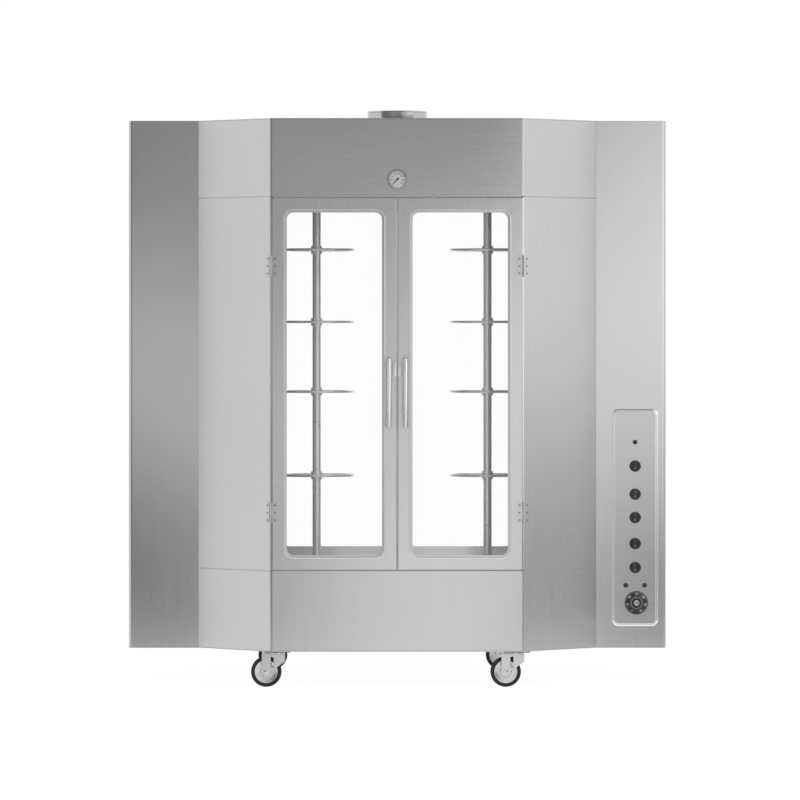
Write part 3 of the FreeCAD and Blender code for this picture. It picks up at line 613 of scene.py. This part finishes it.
def thermometer():
    low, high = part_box("gauge_case")
    lensLow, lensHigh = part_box("gauge_lens")
    radius, lensRadius = (high.x - low.x) / 2, (lensHigh.x - lensLow.x) / 2
    midX, midZ = (low.x + high.x) / 2, (low.z + high.z) / 2
    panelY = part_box("front_header")[0].y
    depth = panelY - low.y
    origin = (midX, panelY, midZ)
    form = bmesh.new()
    rim = scaled(gaugeShape["rim"], radius, depth) + scaled(gaugeShape["seat"], lensRadius, depth)
    lathe(form, rim, origin, (0, -1, 0), 72)
    bmesh.ops.holes_fill(form, edges=form.edges, sides=0)
    roundBar(form, gaugeShape["probeRadius"], origin, high.y - panelY, (0, 1, 0), gaugeShape["probeDome"], 24)
    addPiece("gaugeCase", form, "bezel", "cabinet", ("gauge_case",))
    faceY = panelY - depth * gaugeShape["faceDeep"]
    form = bmesh.new()
    thick, wide = gaugeShape["faceThick"], lensRadius * gaugeShape["faceWide"]
    lathe(form, [(0, 0), (wide, 0), (wide, thick), (0, thick)], (midX, faceY, midZ), (0, -1, 0), 72)
    addPiece("gaugeFace", form, "face", "cabinet")
    form = bmesh.new()
    sizes = {**gaugeTicks, "Outer Radius": lensRadius * gaugeShape["tickEdge"]}
    ring, tickRise = lensRadius * gaugeShape["numberRing"], gaugeTicks["Mark Height"]
    addMarks(form, "gaugeTicks", sizes, (midX, faceY - thick - tickRise / 4, midZ))
    for words, angle in scaleNumbers(gaugeTicks, gaugeShape):
        spot = (midX + ring * math.cos(angle), faceY - thick - tickRise / 2, midZ + ring * math.sin(angle))
        placed = Matrix.Translation(spot) @ Matrix.Rotation(math.pi / 2, 4, "X")
        flatText(form, words, gaugeShape["numberSize"], placed)
    addPiece("gaugeScale", form, "ink", "cabinet")


thermometer()
print("thermometer made")


# Control panel: bright rim, knobs with a grip bar, thermostat dial, lamps
panelShape = {
    "rimOut": 0.005, "rimIn": 0.0038, "rimRise": 0.0046, "rimFoot": 0.08, "corner": 0.016,
    "rimCrest": [(0.0012, 0.94), (0.0006, 1.0), (0.0, 0.96)], "plateGap": 0.001, "spindleRadius": 0.003,
}


def panelRim():
    low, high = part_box("control_plate")
    form = bmesh.new()
    out, back, rise = panelShape["rimOut"], -panelShape["rimIn"], panelShape["rimRise"]
    slope = [(out, 0.0), (out, rise * panelShape["rimFoot"])]
    slope += [(back + run, rise * up) for run, up in panelShape["rimCrest"]] + [(back, 0.0)]
    sweepRect(form, roundedRect(low, high, panelShape["corner"]), slope, high.y, -1)
    addPiece("panelRim", form, "bead", "cabinet", ())


def knobBox(node):
    low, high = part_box(node)
    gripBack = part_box("control_plate")[0].y - panelShape["plateGap"]
    origin = Vector(((low.x + high.x) / 2, gripBack, (low.z + high.z) / 2))
    return origin, (high.x - low.x) / 2, low.y, high.y


def spindle(form, origin, backY):
    thin, length = panelShape["spindleRadius"], backY - origin.y
    lathe(form, [(0, 0), (thin, 0), (thin, length), (0, length)], origin, (0, 1, 0), 24)


knobShape = {
    "skirt": 0.3, "gripWidth": 0.3, "gripReach": 0.92, "gripEdge": 0.14, "markWidth": 0.0044,
    "markProud": 0.0004, "markSunk": 0.0006, "markOuter": 0.55, "markInner": 0.15,
    "side": [(0, 0), (0.97, 0), (1, 0.15), (1, 0.7), (0.96, 1), (0.86, 1.2), (0.82, 1.3), (0, 1.3)],
}


def switchKnob(number):
    node, name, body = "switch_knob_" + str(number), "switchKnob" + str(number), "knob_" + str(number)
    origin, radius, frontY, backY = knobBox(node)
    skirt = (origin.y - frontY) * knobShape["skirt"]
    form = bmesh.new()
    lathe(form, scaled(knobShape["side"], radius, skirt), origin, (0, -1, 0), 56)
    half, reach = radius * knobShape["gripWidth"], radius * knobShape["gripReach"]
    block(form, (origin.x - half, frontY, origin.z - reach),
          (origin.x + half, origin.y - skirt, origin.z + reach), radius * knobShape["gripEdge"])
    spindle(form, origin, backY)
    knob = addPiece(name, form, "black", body, (node,))
    knob.visible_glossy = False  # hidden from the steel's reflections
    # The lighter grey bar low on the knob is an index mark, and also a painted highlight standing in for the
    # glossy spot there.
    form = bmesh.new()
    thin = knobShape["markWidth"] / 2
    outer, inner = radius * knobShape["markOuter"], radius * knobShape["markInner"]
    block(form, (origin.x - thin, frontY - knobShape["markProud"], origin.z - outer),
          (origin.x + thin, frontY + knobShape["markSunk"], origin.z - inner))
    addPiece(name + "Mark", form, "mark", body)


dialShape = {
    "skirt": 0.42, "side": [(0, 0), (0.985, 0), (1, 0.1), (1, 0.45), (0.965, 0.6), (0.62, 1), (0.6, 1.1)],
    "crown": [(0.56, 0.9), (0.53, 0.94), (0, 0.94)], "coneEdge": 0.965, "coneLow": 0.6, "coneRun": 0.345,
    "coneRise": 0.4, "ribs": 24, "ribWidth": 0.0022, "ribInner": 0.5, "ribOuter": 0.615, "ribTop": 0.88,
    "capRadius": 0.24, "cap": [(0, 0.9), (1, 0.9), (1, 0.965), (0.95, 0.99), (0.9, 1), (0, 1)],
    "ringInner": 0.44, "ringOuter": 0.5, "ringRise": 0.0006, "ringLow": 0.94, "tickEdge": 0.95,
    "numberSize": 0.0074, "numberRing": 0.735, "numberRise": 0.0003, "topNumber": 300, "numbers": 7,
}
dialTicks = {
    "Count": 31, "Start Angle": math.radians(240.0), "Sweep": math.radians(300.0), "Long Mark": 0.0046,
    "Short Mark": 0.003, "Mark Width": 0.0011, "Mark Height": 0.0008, "Long Every": 5,
}


def dialBody(origin, radius, depth, skirt, backY):
    form = bmesh.new()
    side = scaled(dialShape["side"], radius, skirt) + scaled(dialShape["crown"], radius, depth)
    lathe(form, side, origin, (0, -1, 0), 80)
    ribs, ribHigh = dialShape["ribs"], depth * dialShape["ribTop"]
    ribLength = radius * (dialShape["ribOuter"] - dialShape["ribInner"])
    sizes = {"Count": ribs, "Start Angle": 0.0, "Sweep": 2 * math.pi * (ribs - 1) / ribs,
             "Outer Radius": radius * dialShape["ribOuter"], "Long Mark": ribLength, "Short Mark": ribLength,
             "Mark Width": dialShape["ribWidth"], "Mark Height": ribHigh - skirt, "Long Every": 1,
             "Cone Slope": 0.0}
    addMarks(form, "thermostatRibs", sizes, (origin.x, origin.y - (ribHigh + skirt) / 2, origin.z))
    spindle(form, origin, backY)
    dial = addPiece("thermostatDial", form, "black", "thermostat", ("thermostat_dial",))
    dial.visible_glossy = False


def dialCap(origin, radius, depth):
    form = bmesh.new()
    lathe(form, scaled(dialShape["cap"], radius * dialShape["capRadius"], depth), origin, (0, -1, 0))
    inner, outer = radius * dialShape["ringInner"], radius * dialShape["ringOuter"]
    low = depth * dialShape["ringLow"]
    high = low + dialShape["ringRise"]
    lathe(form, [(inner, low), (outer, low), (outer, high), (inner, high), (inner, low)], origin, (0, -1, 0))
    addPiece("thermostatCap", form, "bezel", "thermostat", ())


def dialScale(origin, radius, skirt):
    slope = skirt * dialShape["coneRise"] / (radius * dialShape["coneRun"])  # rise per metre inwards

    def coneHeight(reach):
        return skirt * dialShape["coneLow"] + (radius * dialShape["coneEdge"] - reach) * slope

    form = bmesh.new()
    outer, ring = radius * dialShape["tickEdge"], radius * dialShape["numberRing"]
    sizes = {**dialTicks, "Outer Radius": outer, "Cone Slope": slope}
    addMarks(form, "thermostatTicks", sizes, (origin.x, origin.y - coneHeight(outer), origin.z))
    up = coneHeight(ring) + dialShape["numberRise"]
    lying = Matrix.Translation((0, -up, ring)) @ Matrix.Rotation(math.pi / 2 - math.atan(slope), 4, "X")
    for words, angle in scaleNumbers(dialTicks, dialShape):
        facing = Matrix.Translation(origin) @ Matrix.Rotation(math.pi / 2 - angle, 4, "Y")
        flatText(form, words, dialShape["numberSize"], facing @ lying)
    addPiece("thermostatScale", form, "white", "thermostat")


def thermostatDial():
    origin, radius, frontY, backY = knobBox("thermostat_dial")
    depth = origin.y - frontY
    skirt = depth * dialShape["skirt"]
    dialBody(origin, radius, depth, skirt, backY)
    dialCap(origin, radius, depth)
    dialScale(origin, radius, skirt)


lampShape = {
    "radius": 0.01, "domeWide": 0.8, "domeFoot": 0.2, "domeLow": 0.4, "domeRise": 0.6,
    "bezel": [(0, 0), (1, 0), (1, 0.3), (0.93, 0.5), (0.84, 0.5), (0.84, 0.25), (0, 0.25)],
}


def indicatorLamps():
    low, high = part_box("indicator_lamps")
    panelMid = middleOf("control_plate").x
    radius, depth = lampShape["radius"], high.y - low.y
    spread = (high.x - low.x) / 2 - radius
    lowRow = low.z + radius
    spots = [(panelMid, high.z - radius), (panelMid - spread, lowRow), (panelMid + spread, lowRow)]
    dome = [(0, depth * lampShape["domeFoot"])]
    for angle in arc(0.0, math.pi / 2):
        dome.append((radius * lampShape["domeWide"] * math.cos(angle),
                     depth * (lampShape["domeLow"] + lampShape["domeRise"] * math.sin(angle))))
    bezels, domes = bmesh.new(), bmesh.new()
    for x, z in spots:
        lathe(bezels, scaled(lampShape["bezel"], radius, depth), (x, high.y, z), (0, -1, 0), 40)
        lathe(domes, dome, (x, high.y, z), (0, -1, 0), 40)
    addPiece("lampBezels", bezels, "bright", "cabinet", ())
    addPiece("lampDomes", domes, "black", "cabinet", ("indicator_lamps",))


panelRim()
for number in range(1, 6):
    switchKnob(number)
thermostatDial()
indicatorLamps()
print("control panel made")


# Pointer: a tapered needle on a domed cap
pointerShape = {
    "thick": 0.0008, "tail": (-0.007, 0.0018), "middle": (0.004, 0.002), "tipReach": 0.97,
    "tipWidth": 0.0006, "pinRadius": 0.0014,
    "cap": [(0.0014, -0.0002), (0.0034, -0.0002), (0.0034, 0.0002), (0.0026, 0.0006), (0, 0.0008)],
}


def gaugePointer():
    low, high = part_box("gauge_pointer")
    middle = middleOf("gauge_case")
    middle.y = 0
    reach = Vector((low.x - middle.x, 0, low.z - middle.z))
    along, aside = reach.normalized(), Vector((reach.z, 0, -reach.x)).normalized()
    form = bmesh.new()
    tip = (reach.length * pointerShape["tipReach"], pointerShape["tipWidth"])
    outline = [pointerShape["tail"], pointerShape["middle"], tip]
    layers = []
    for y in (low.y, low.y + pointerShape["thick"]):
        level = middle + Vector((0, y, 0))
        right = [form.verts.new(level + along * u + aside * w) for u, w in outline]
        left = [form.verts.new(level + along * u - aside * w) for u, w in reversed(outline)]
        layers.append(right + left)
    for layer in layers:
        form.faces.new(layer)
    bridge(form, *layers)
    deep = high.y - low.y
    pin = [(0, 0), (pointerShape["pinRadius"], 0)] + [(r, deep + up) for r, up in pointerShape["cap"]]
    lathe(form, pin, (middle.x, high.y, middle.z), (0, -1, 0), 32)
    addPiece("gaugePointer", form, "red", "pointer", ("gauge_pointer",))


gaugePointer()
print("pointer made")


# Casters: a rubber tyre on a pale steel hub with an axle nut
casterShape = {
    "tyre": 0.0125, "tyreStep": 0.04, "crown": [(0.93, 0), (0.965, 0.03), (0.988, 0.1), (1, 0.25)],
    "bore": 0.00605, "capRadius": 0.017, "capBack": 0.0006, "capFlare": 1.08, "capFoot": 0.6,
    "hubDish": 0.004, "hub": [(0.55, 1), (0.8, 1), (0.9, 0.5), (1, 0.4)], "nutRadius": 0.0085,
    "nutRise": 0.004, "nut": [(0, 0), (1.15, 0), (1.15, 0.25), (1, 0.25), (1, 0.85), (0.86, 1), (0, 1)],
}


def pieceName(corner, word):
    return corner.replace("_l", "L").replace("_r", "R") + word


def casterWheel(corner):
    node = corner + "_caster_wheel"
    low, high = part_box(node)
    middle = (low + high) / 2
    radius, width = (high.z - low.z) / 2, high.y - low.y
    inner = radius - casterShape["tyre"]
    origin = (middle.x, low.y, middle.z)
    form = bmesh.new()
    half = [(inner, width * casterShape["tyreStep"])] + scaled(casterShape["crown"], radius, width)
    lathe(form, mirrored(half, width), origin, (0, 1, 0), 72)
    addPiece(pieceName(corner, "Tyre"), form, "rubber", corner + "_wheel", (node,))
    form = bmesh.new()
    cap, back, dish = casterShape["capRadius"], casterShape["capBack"], casterShape["hubDish"]
    flare, foot = cap * casterShape["capFlare"], dish * casterShape["capFoot"]
    half = [(casterShape["bore"], back), (cap, back), (flare, foot)]
    lathe(form, mirrored(half + scaled(casterShape["hub"], inner, dish), width), origin, (0, 1, 0))
    addPiece(pieceName(corner, "Hub"), form, "zinc", corner + "_wheel", ())


def axleNut(corner):
    low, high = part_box(corner + "_caster_fork")
    middle = middleOf(corner + "_caster_wheel")
    nut = scaled(casterShape["nut"], casterShape["nutRadius"], casterShape["nutRise"])
    form = bmesh.new()
    for y, outward in ((low.y, -1), (high.y, 1)):
        lathe(form, nut, (middle.x, y, middle.z), (0, outward, 0), 6)
    addPiece(pieceName(corner, "AxleNut"), form, "zinc", corner + "_fork", ())


for corner in corners:
    casterWheel(corner)
    axleNut(corner)
print("casters made")


# Flue collar: a spun spigot with a rolled rim and a flat flange
flueShape = {
    "radius": 0.1, "wall": 0.002, "roll": 0.0028, "rollOut": 0.2, "flange": 0.0025, "flangeSide": 0.7,
    "flangeEdge": 0.0008, "fillet": 0.004, "filletMiddle": 0.3, "bareWall": 0.0005,
}


def flueCollar():
    low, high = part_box("flue_collar")
    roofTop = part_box("roof_panel")[1].z
    middle = ((low.x + high.x) / 2, (low.y + high.y) / 2, roofTop)
    wide, thick = (high.x - low.x) / 2, flueShape["flange"]
    radius, rise = flueShape["radius"], high.z - roofTop
    roll, fillet = flueShape["roll"], flueShape["fillet"]
    bend, bulge = fillet * flueShape["filletMiddle"], roll * flueShape["rollOut"]
    profile = [(wide, 0.0), (wide, thick * flueShape["flangeSide"]), (wide - flueShape["flangeEdge"], thick),
               (radius + fillet, thick), (radius + bend, thick + bend), (radius, thick + fillet),
               (radius, rise - 2 * roll)]
    for angle in arc(-math.pi / 2, math.pi):
        profile.append((radius - bulge + bulge * math.cos(angle), rise - roll + roll * math.sin(angle)))
    inner, foot = radius - flueShape["wall"], low.z - roofTop
    outer = inner + flueShape["bareWall"]
    profile += [(inner, rise - roll), (inner, foot), (outer, foot), (outer, 0.0), (wide, 0.0)]
    form = bmesh.new()
    lathe(form, profile, middle, (0, 0, 1), 128)
    addPiece("flueCollar", form, "flue", "cabinet", ("flue_collar",))


flueCollar()
print("flue made")


# Screws: one Geometry Nodes tree sets heads with a cross slot on marked spots
screwShape = {"Head Radius": 0.0027, "Head Height": 0.0012, "Slot Width": 0.0009, "Slot Depth": 0.0007}
screwPlaces = {
    "rearInset": 0.028, "rearEdge": 0.028 / 3, "rearRows": 8, "rearSize": 1.5, "flueInset": 0.008,
    "flueCount": 8, "flueSize": 1.4,
}


def screwTree():
    repeat = Repeat("screwHeads", screwShape)
    radius, height = repeat.given("Head Radius"), repeat.given("Head Height")
    head = repeat.wire("GeometryNodeMeshCone", {
        "Vertices": 24, "Radius Bottom": radius, "Radius Top": radius * 0.82, "Depth": height})
    deep, raised = repeat.given("Slot Depth") * 2.0, repeat.vector(Z=height)
    bars = []
    for long, short in ("XY", "YX"):
        size = repeat.vector(**{long: radius, short: repeat.given("Slot Width"), "Z": deep})
        bar = repeat.wire("GeometryNodeMeshCube", {"Size": size})
        bars.append(repeat.wire("GeometryNodeTransform", {"Geometry": bar, "Translation": raised}))
    driven = repeat.wire("GeometryNodeMeshBoolean", {0: head, 1: repeat.join(bars)}, operation="DIFFERENCE")
    aim, grow = [repeat.wire("GeometryNodeInputNamedAttribute", {"Name": name}, data_type=kind)
                 for kind, name in (("FLOAT_VECTOR", "aim"), ("FLOAT", "grow"))]
    turn = repeat.wire("FunctionNodeAlignRotationToVector", {"Vector": aim}, axis="Z")
    repeat.close(repeat.wire("GeometryNodeInstanceOnPoints", {
        "Points": repeat.given("Geometry"), "Instance": driven, "Rotation": turn, "Scale": grow}))
    return repeat


hingeShape = {"length": 0.069, "leafWidth": 0.019, "leafThick": 0.002, "pitch": 0.024, "cornerToLeaf": 0.0142}


def hingeHeights(low, high):
    half = hingeShape["length"] / 2
    return [middle + step * hingeShape["pitch"]
            for middle in (low.z + half, high.z - half) for step in (-1, 0, 1)]


def bayAxes(sign):  # along and out from a diagonal side of the bay
    slant = math.sqrt(0.5)
    return Vector((sign * slant, slant, 0)), Vector((sign * slant, -slant, 0))


def hingeScrews(repeat):
    headerLow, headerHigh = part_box("front_header")
    fixed = []
    for side, sign in sides.items():
        low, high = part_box(side + "_hinge_door_leaves")
        leafX = (high.x if sign < 0 else low.x) + sign * hingeShape["leafWidth"] / 2
        leafY = headerLow.y - hingeShape["leafThick"]
        heights = hingeHeights(low, high)
        spots = [((leafX, leafY, z), (0, -1, 0), 1.0) for z in heights]
        made = repeat.mesh(side + "DoorScrews", screwShape, spots)
        addPiece(side + "DoorScrews", made, "screw", side + "_door", ())
        along, outward = bayAxes(sign)
        corner = Vector((sign * headerHigh.x, headerLow.y, 0))
        spot = corner + along * hingeShape["cornerToLeaf"] + outward * hingeShape["leafThick"]
        fixed += [((spot.x, spot.y, z), tuple(outward), 1.0) for z in heights]
    return fixed


def rearScrews():
    low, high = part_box("rear_panel")
    inset, edge, rows = [screwPlaces[key] for key in ("rearInset", "rearEdge", "rearRows")]
    heights = [low.z + inset + (high.z - low.z - 2 * inset) * i / (rows - 1) for i in range(rows)]
    return [((x, high.y, z), (0, 1, 0), screwPlaces["rearSize"])
            for z in heights for x in (low.x + edge, high.x - edge)]


def flueScrews():
    low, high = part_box("flue_collar")
    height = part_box("roof_panel")[1].z + flueShape["flange"]
    ring, count = (high.x - low.x) / 2 - screwPlaces["flueInset"], screwPlaces["flueCount"]
    angles = [math.pi * (2 * i + 1) / count for i in range(count)]
    return [((ring * math.cos(angle), (low.y + high.y) / 2 + ring * math.sin(angle), height), (0, 0, 1),
             screwPlaces["flueSize"]) for angle in angles]


def screws():
    repeat = screwTree()
    fixed = hingeScrews(repeat) + rearScrews() + flueScrews()
    made = repeat.mesh("cabinetScrews", screwShape, fixed)
    addPiece("cabinetScrews", made, "screw", "cabinet", ())


screws()
print("screws set")


# Meeting edges: a rubber lip and half a latch plate on each door
latchShape = {
    "lipFront": 0.001, "lipBack": 0.008, "lipGap": 0.0002, "plateInner": 0.0018, "plateOuter": 0.016,
    "plateLow": 1.0166, "plateHigh": 1.0657, "plateThick": 0.002, "plateEdge": 0.0006,
}


def meetingEdge(side, sign):
    low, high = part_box(side + "_door_frame")
    edge = min(abs(low.x), abs(high.x))
    form = bmesh.new()
    near, far = sorted((sign * edge, sign * latchShape["lipGap"]))
    block(form, (near, low.y + latchShape["lipFront"], low.z), (far, low.y + latchShape["lipBack"], high.z))
    addPiece(side + "DoorLip", form, "seal", side + "_door")
    form = bmesh.new()
    near, far = sorted((sign * latchShape["plateInner"], sign * latchShape["plateOuter"]))
    block(form, (near, low.y - latchShape["plateThick"], latchShape["plateLow"]),
          (far, low.y, latchShape["plateHigh"]), latchShape["plateEdge"])
    addPiece(side + "LatchPlate", form, "latch", side + "_door", ())


for side, sign in sides.items():
    meetingEdge(side, sign)
print("door edges made")


# Seams: strips behind the panel joints, seals above and below the doors, cover strips beside the
# hinge edges, and a leaning drip strip under the rear window
seamShape = {
    "gap": 0.0015, "clear": 0.0001, "stripBack": 0.0005, "stripDeep": 0.0025, "stripStart": 0.0065,
    "stripEnd": 0.001, "sealBack": 0.0003, "sealDeep": 0.009, "sealClear": 0.0003, "sealInset": 0.006,
    "foldLean": 0.414, "dripTop": 0.0012, "dripFoot": 0.0085, "sameEdge": 1e-5,
}


def slantBlock(form, corner, along, outward, run, depth, rise):
    made = bmesh.ops.create_cube(form, size=1.0)
    for vert in made["verts"]:
        spans = zip((run, depth, rise), vert.co)
        u, v, w = [low + (share + 0.5) * (high - low) for (low, high), share in spans]
        vert.co = corner + along * u + outward * v + Vector((0, 0, w))


def jointStrips(headerLow, headerHigh, apronTop):
    reach = (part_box("left_column")[0].y - headerLow.y) / math.sqrt(0.5)
    run = (seamShape["stripStart"], reach - seamShape["stripEnd"])
    depth = (-seamShape["stripDeep"], -seamShape["stripBack"])
    half = seamShape["gap"] / 2 - seamShape["clear"]
    form = bmesh.new()
    for sign in (-1, 1):
        along, outward = bayAxes(sign)
        corner = Vector((sign * headerHigh.x, headerLow.y, 0))
        for z in (headerLow.z, apronTop):
            slantBlock(form, corner, along, outward, run, depth, (z - half, z + half))
    addPiece("jointStrips", form, "panel", "cabinet", ())


def doorSurround(headerLow, headerHigh, apronTop):
    doorLow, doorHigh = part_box("left_door_frame")
    front, back = headerLow.y + seamShape["sealBack"], headerLow.y + seamShape["sealDeep"]
    wide, clear = headerHigh.x - seamShape["sealInset"], seamShape["sealClear"]
    form = bmesh.new()
    for low, high in ((apronTop, doorLow.z), (doorHigh.z, headerLow.z)):
        block(form, (-wide, front, low + clear), (wide, back, high - clear))
    addPiece("doorSeals", form, "seal", "cabinet")
    form = bmesh.new()
    for sign in (-1, 1):  # leaning like the corner fold
        near, far = sign * (abs(doorLow.x) + clear), sign * (headerHigh.x - seamShape["clear"])
        block(form, (min(near, far), front, doorLow.z), (max(near, far), back, doorHigh.z))
        for vert in form.verts:
            if max(abs(vert.co.x - far), abs(vert.co.y - front)) < seamShape["sameEdge"]:
                vert.co.y += abs(far - near) * seamShape["foldLean"]
    # the strips are real steel, but their brighter finish is a painted highlight on the corner fold
    addPiece("hingeStrips", form, "strip", "cabinet", ())


def dripStrip():
    panelY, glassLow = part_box("rear_panel")[0].y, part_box("rear_glass")[0]
    clear = seamShape["sealClear"]
    foot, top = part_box("floor_pan")[1].z + clear, glassLow.z + beadShape["rearBite"] - clear
    form = bmesh.new()
    block(form, (glassLow.x, panelY - seamShape["dripTop"], foot), (-glassLow.x, panelY, top))
    for vert in form.verts:
        if vert.co.y < panelY - clear and vert.co.z < top - clear:
            vert.co.y = panelY - seamShape["dripFoot"]  # leans, so that drips run to the pan
    addPiece("dripStrip", form, "sill", "cabinet", ())


def seams():
    headerLow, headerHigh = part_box("front_header")
    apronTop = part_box("front_apron")[1].z
    jointStrips(headerLow, headerHigh, apronTop)
    doorSurround(headerLow, headerHigh, apronTop)
    dripStrip()


seams()
print("seams filled")


# Stage: pale floor, white surround, two gradient cards for the steel to mirror
stageShape = {"worldLight": 0.55, "floorGlow": 1.05, "floorShare": 0.9, "floorSize": 30.0}
pureWhite = (1.0, 1.0, 1.0, 1.0)


def surround():
    world = bpy.data.worlds.new("surround")
    bpy.context.scene.world = world
    world.use_nodes = True
    world.node_tree.nodes.clear()
    sky = Nodes(world.node_tree)
    soft, white = [sky.wire("ShaderNodeBackground", {"Color": pureWhite, "Strength": strength})
                   for strength in (stageShape["worldLight"], 1.0)]
    mixed = sky.wire("ShaderNodeMixShader", {0: sky.seenRays(), 1: soft, 2: white})
    sky.add("ShaderNodeOutputWorld", {"Surface": mixed})


def stageSheet(name, quad, paint):
    mesh = bpy.data.meshes.new(name)
    mesh.from_pydata(quad, [], [range(len(quad))])
    mesh.materials.append(paint.material)
    sheet = newObject(name, mesh)
    return sheet


def floorSheet():
    paint = Paint("paleFloor")
    paint.set(Base_Color=grey(0.9), Roughness=0.8)
    glow = paint.wire("ShaderNodeEmission", {"Color": pureWhite, "Strength": stageShape["floorGlow"]})
    plain = Wire(paint, paint.shader.outputs[0])
    share = paint.seenRays() * stageShape["floorShare"]
    paint.surface(paint.wire("ShaderNodeMixShader", {0: share, 1: plain, 2: glow}))
    wide = stageShape["floorSize"]
    stageSheet("floor", [(-wide, -wide, 0), (wide, -wide, 0), (wide, wide, 0), (-wide, wide, 0)], paint)


cardShape = {
    "y": -1.6, "halfWidth": 3.2, "low": 0.01, "high": 3.6, "base": 0.51, "slope": 0.42, "tilt": 0.9,
    "topHeight": 1.8, "leastLevel": 0.38, "mostLevel": 1.02, "darkest": 0.24, "fadeStart": 2.0,
    "fadeEnd": 2.5, "fade": 0.7,
}
cardPatches = [  # each fades in from the first to the second number of every span, in metres
    {"x": [(-0.05, -0.7)], "z": [(0.8, 0.15)], "gain": -0.6},
    {"x": [(-0.45, -0.75)], "z": [(0.5, 1.0), (1.7, 1.2)], "gain": 0.34},
    {"x": [(0.2, 0.5)], "z": [(0.8, 1.2)], "gain": 0.12},
    {"x": [(0.4, 0.85)], "z": [(0.8, 0.1)], "gain": -0.95},
    {"x": [(-0.95, -1.4)], "z": [], "gain": -0.26},
    {"x": [(0.05, 0.25), (0.62, 0.45)], "z": [(1.4, 1.7)], "gain": -0.2},
    {"x": [(-0.1, -0.3), (-0.7, -0.5)], "z": [(1.45, 1.65)], "gain": 0.1},
    {"x": [(1.1, 1.35)], "z": [(0.3, 0.6)], "gain": 0.25},
]
flagShape = {"x": 2.4, "front": -2.2, "rear": 0.3, "low": 0.01, "high": 1.1, "fadeStart": 0.25, "least": 0.42}


def stageCard(name, quad, level):
    paint = Paint(name + "Glow")
    parts = paint.add("ShaderNodeSeparateXYZ", {0: paint.spot})
    shade = level(paint, Wire(paint, parts.outputs["X"]), Wire(paint, parts.outputs["Z"]))
    colour = paint.wire("ShaderNodeCombineColor", {0: shade, 1: shade, 2: shade})
    paint.surface(paint.wire("ShaderNodeEmission", {"Color": colour, "Strength": 1.0}))
    card = stageSheet(name, quad, paint)
    for ray in ("camera", "diffuse", "shadow", "transmission"):
        setattr(card, "visible_" + ray, False)


def frontLevel(paint, x, z):
    ramp = cardShape["base"] + (x + (cardShape["topHeight"] - z) * cardShape["tilt"]) * cardShape["slope"]
    level = paint.wire("ShaderNodeClamp", {0: ramp, 1: cardShape["leastLevel"], 2: cardShape["mostLevel"]})
    for patch in cardPatches:
        share = patch["gain"]
        for place, spans in ((x, patch["x"]), (z, patch["z"])):
            for start, end in spans:
                share = paint.between(place, start, end) * share
        level = level + share
    above = paint.between(z, cardShape["fadeStart"], cardShape["fadeEnd"])
    return (level * (1.0 - above * cardShape["fade"])).most(cardShape["darkest"])


def sideLevel(paint, x, z):
    rise = paint.between(z, flagShape["fadeStart"], flagShape["high"])
    return flagShape["least"] + rise * (1.0 - flagShape["least"])


def reflectorCards():
    wide, y = cardShape["halfWidth"], cardShape["y"]
    low, high = cardShape["low"], cardShape["high"]
    stageCard("frontCard", [(-wide, y, low), (wide, y, low), (wide, y, high), (-wide, y, high)], frontLevel)
    x, front, rear = flagShape["x"], flagShape["front"], flagShape["rear"]
    low, high = flagShape["low"], flagShape["high"]
    stageCard("sideFlag", [(x, front, low), (x, rear, low), (x, rear, high), (x, front, high)], sideLevel)


lampShapes = {
    "keyLamp": {"place": (3.0, -4.5, 4.0), "power": 160.0},
    "fillLamp": {"place": (-4.0, -3.5, 2.6), "power": 60.0},
}
lampAim = {"target": (0, 0, 1.0), "size": 3.0}


def areaLamps():
    for name, shape in lampShapes.items():
        data = bpy.data.lights.new(name, "AREA")
        data.shape = "SQUARE"
        data.size = lampAim["size"]
        data.energy = shape["power"]
        lamp = newObject(name, data)
        lamp.location = shape["place"]
        aim = Vector(lampAim["target"]) - Vector(shape["place"])
        lamp.rotation_euler = aim.to_track_quat("-Z", "Y").to_euler()
        lamp.visible_glossy = False


cameraShape = {"distance": 19.0, "height": 1.15}
cameraLens = {"lens": 262.0, "sensor_width": 36.0, "shift_x": 0.0034, "shift_y": -0.0805, "clip_end": 200.0}


def photoCamera():
    data = bpy.data.cameras.new("photoCamera")
    for key, value in cameraLens.items():
        setattr(data, key, value)
    camera = newObject("photoCamera", data)
    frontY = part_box("front_header")[0].y
    camera.location = (0, frontY - cameraShape["distance"], cameraShape["height"])
    camera.rotation_euler = (math.pi / 2, 0, 0)
    bpy.context.scene.camera = camera


surround()
floorSheet()
reflectorCards()
areaLamps()
photoCamera()
bpy.context.scene.view_settings.view_transform = "Standard"
print("stage set")
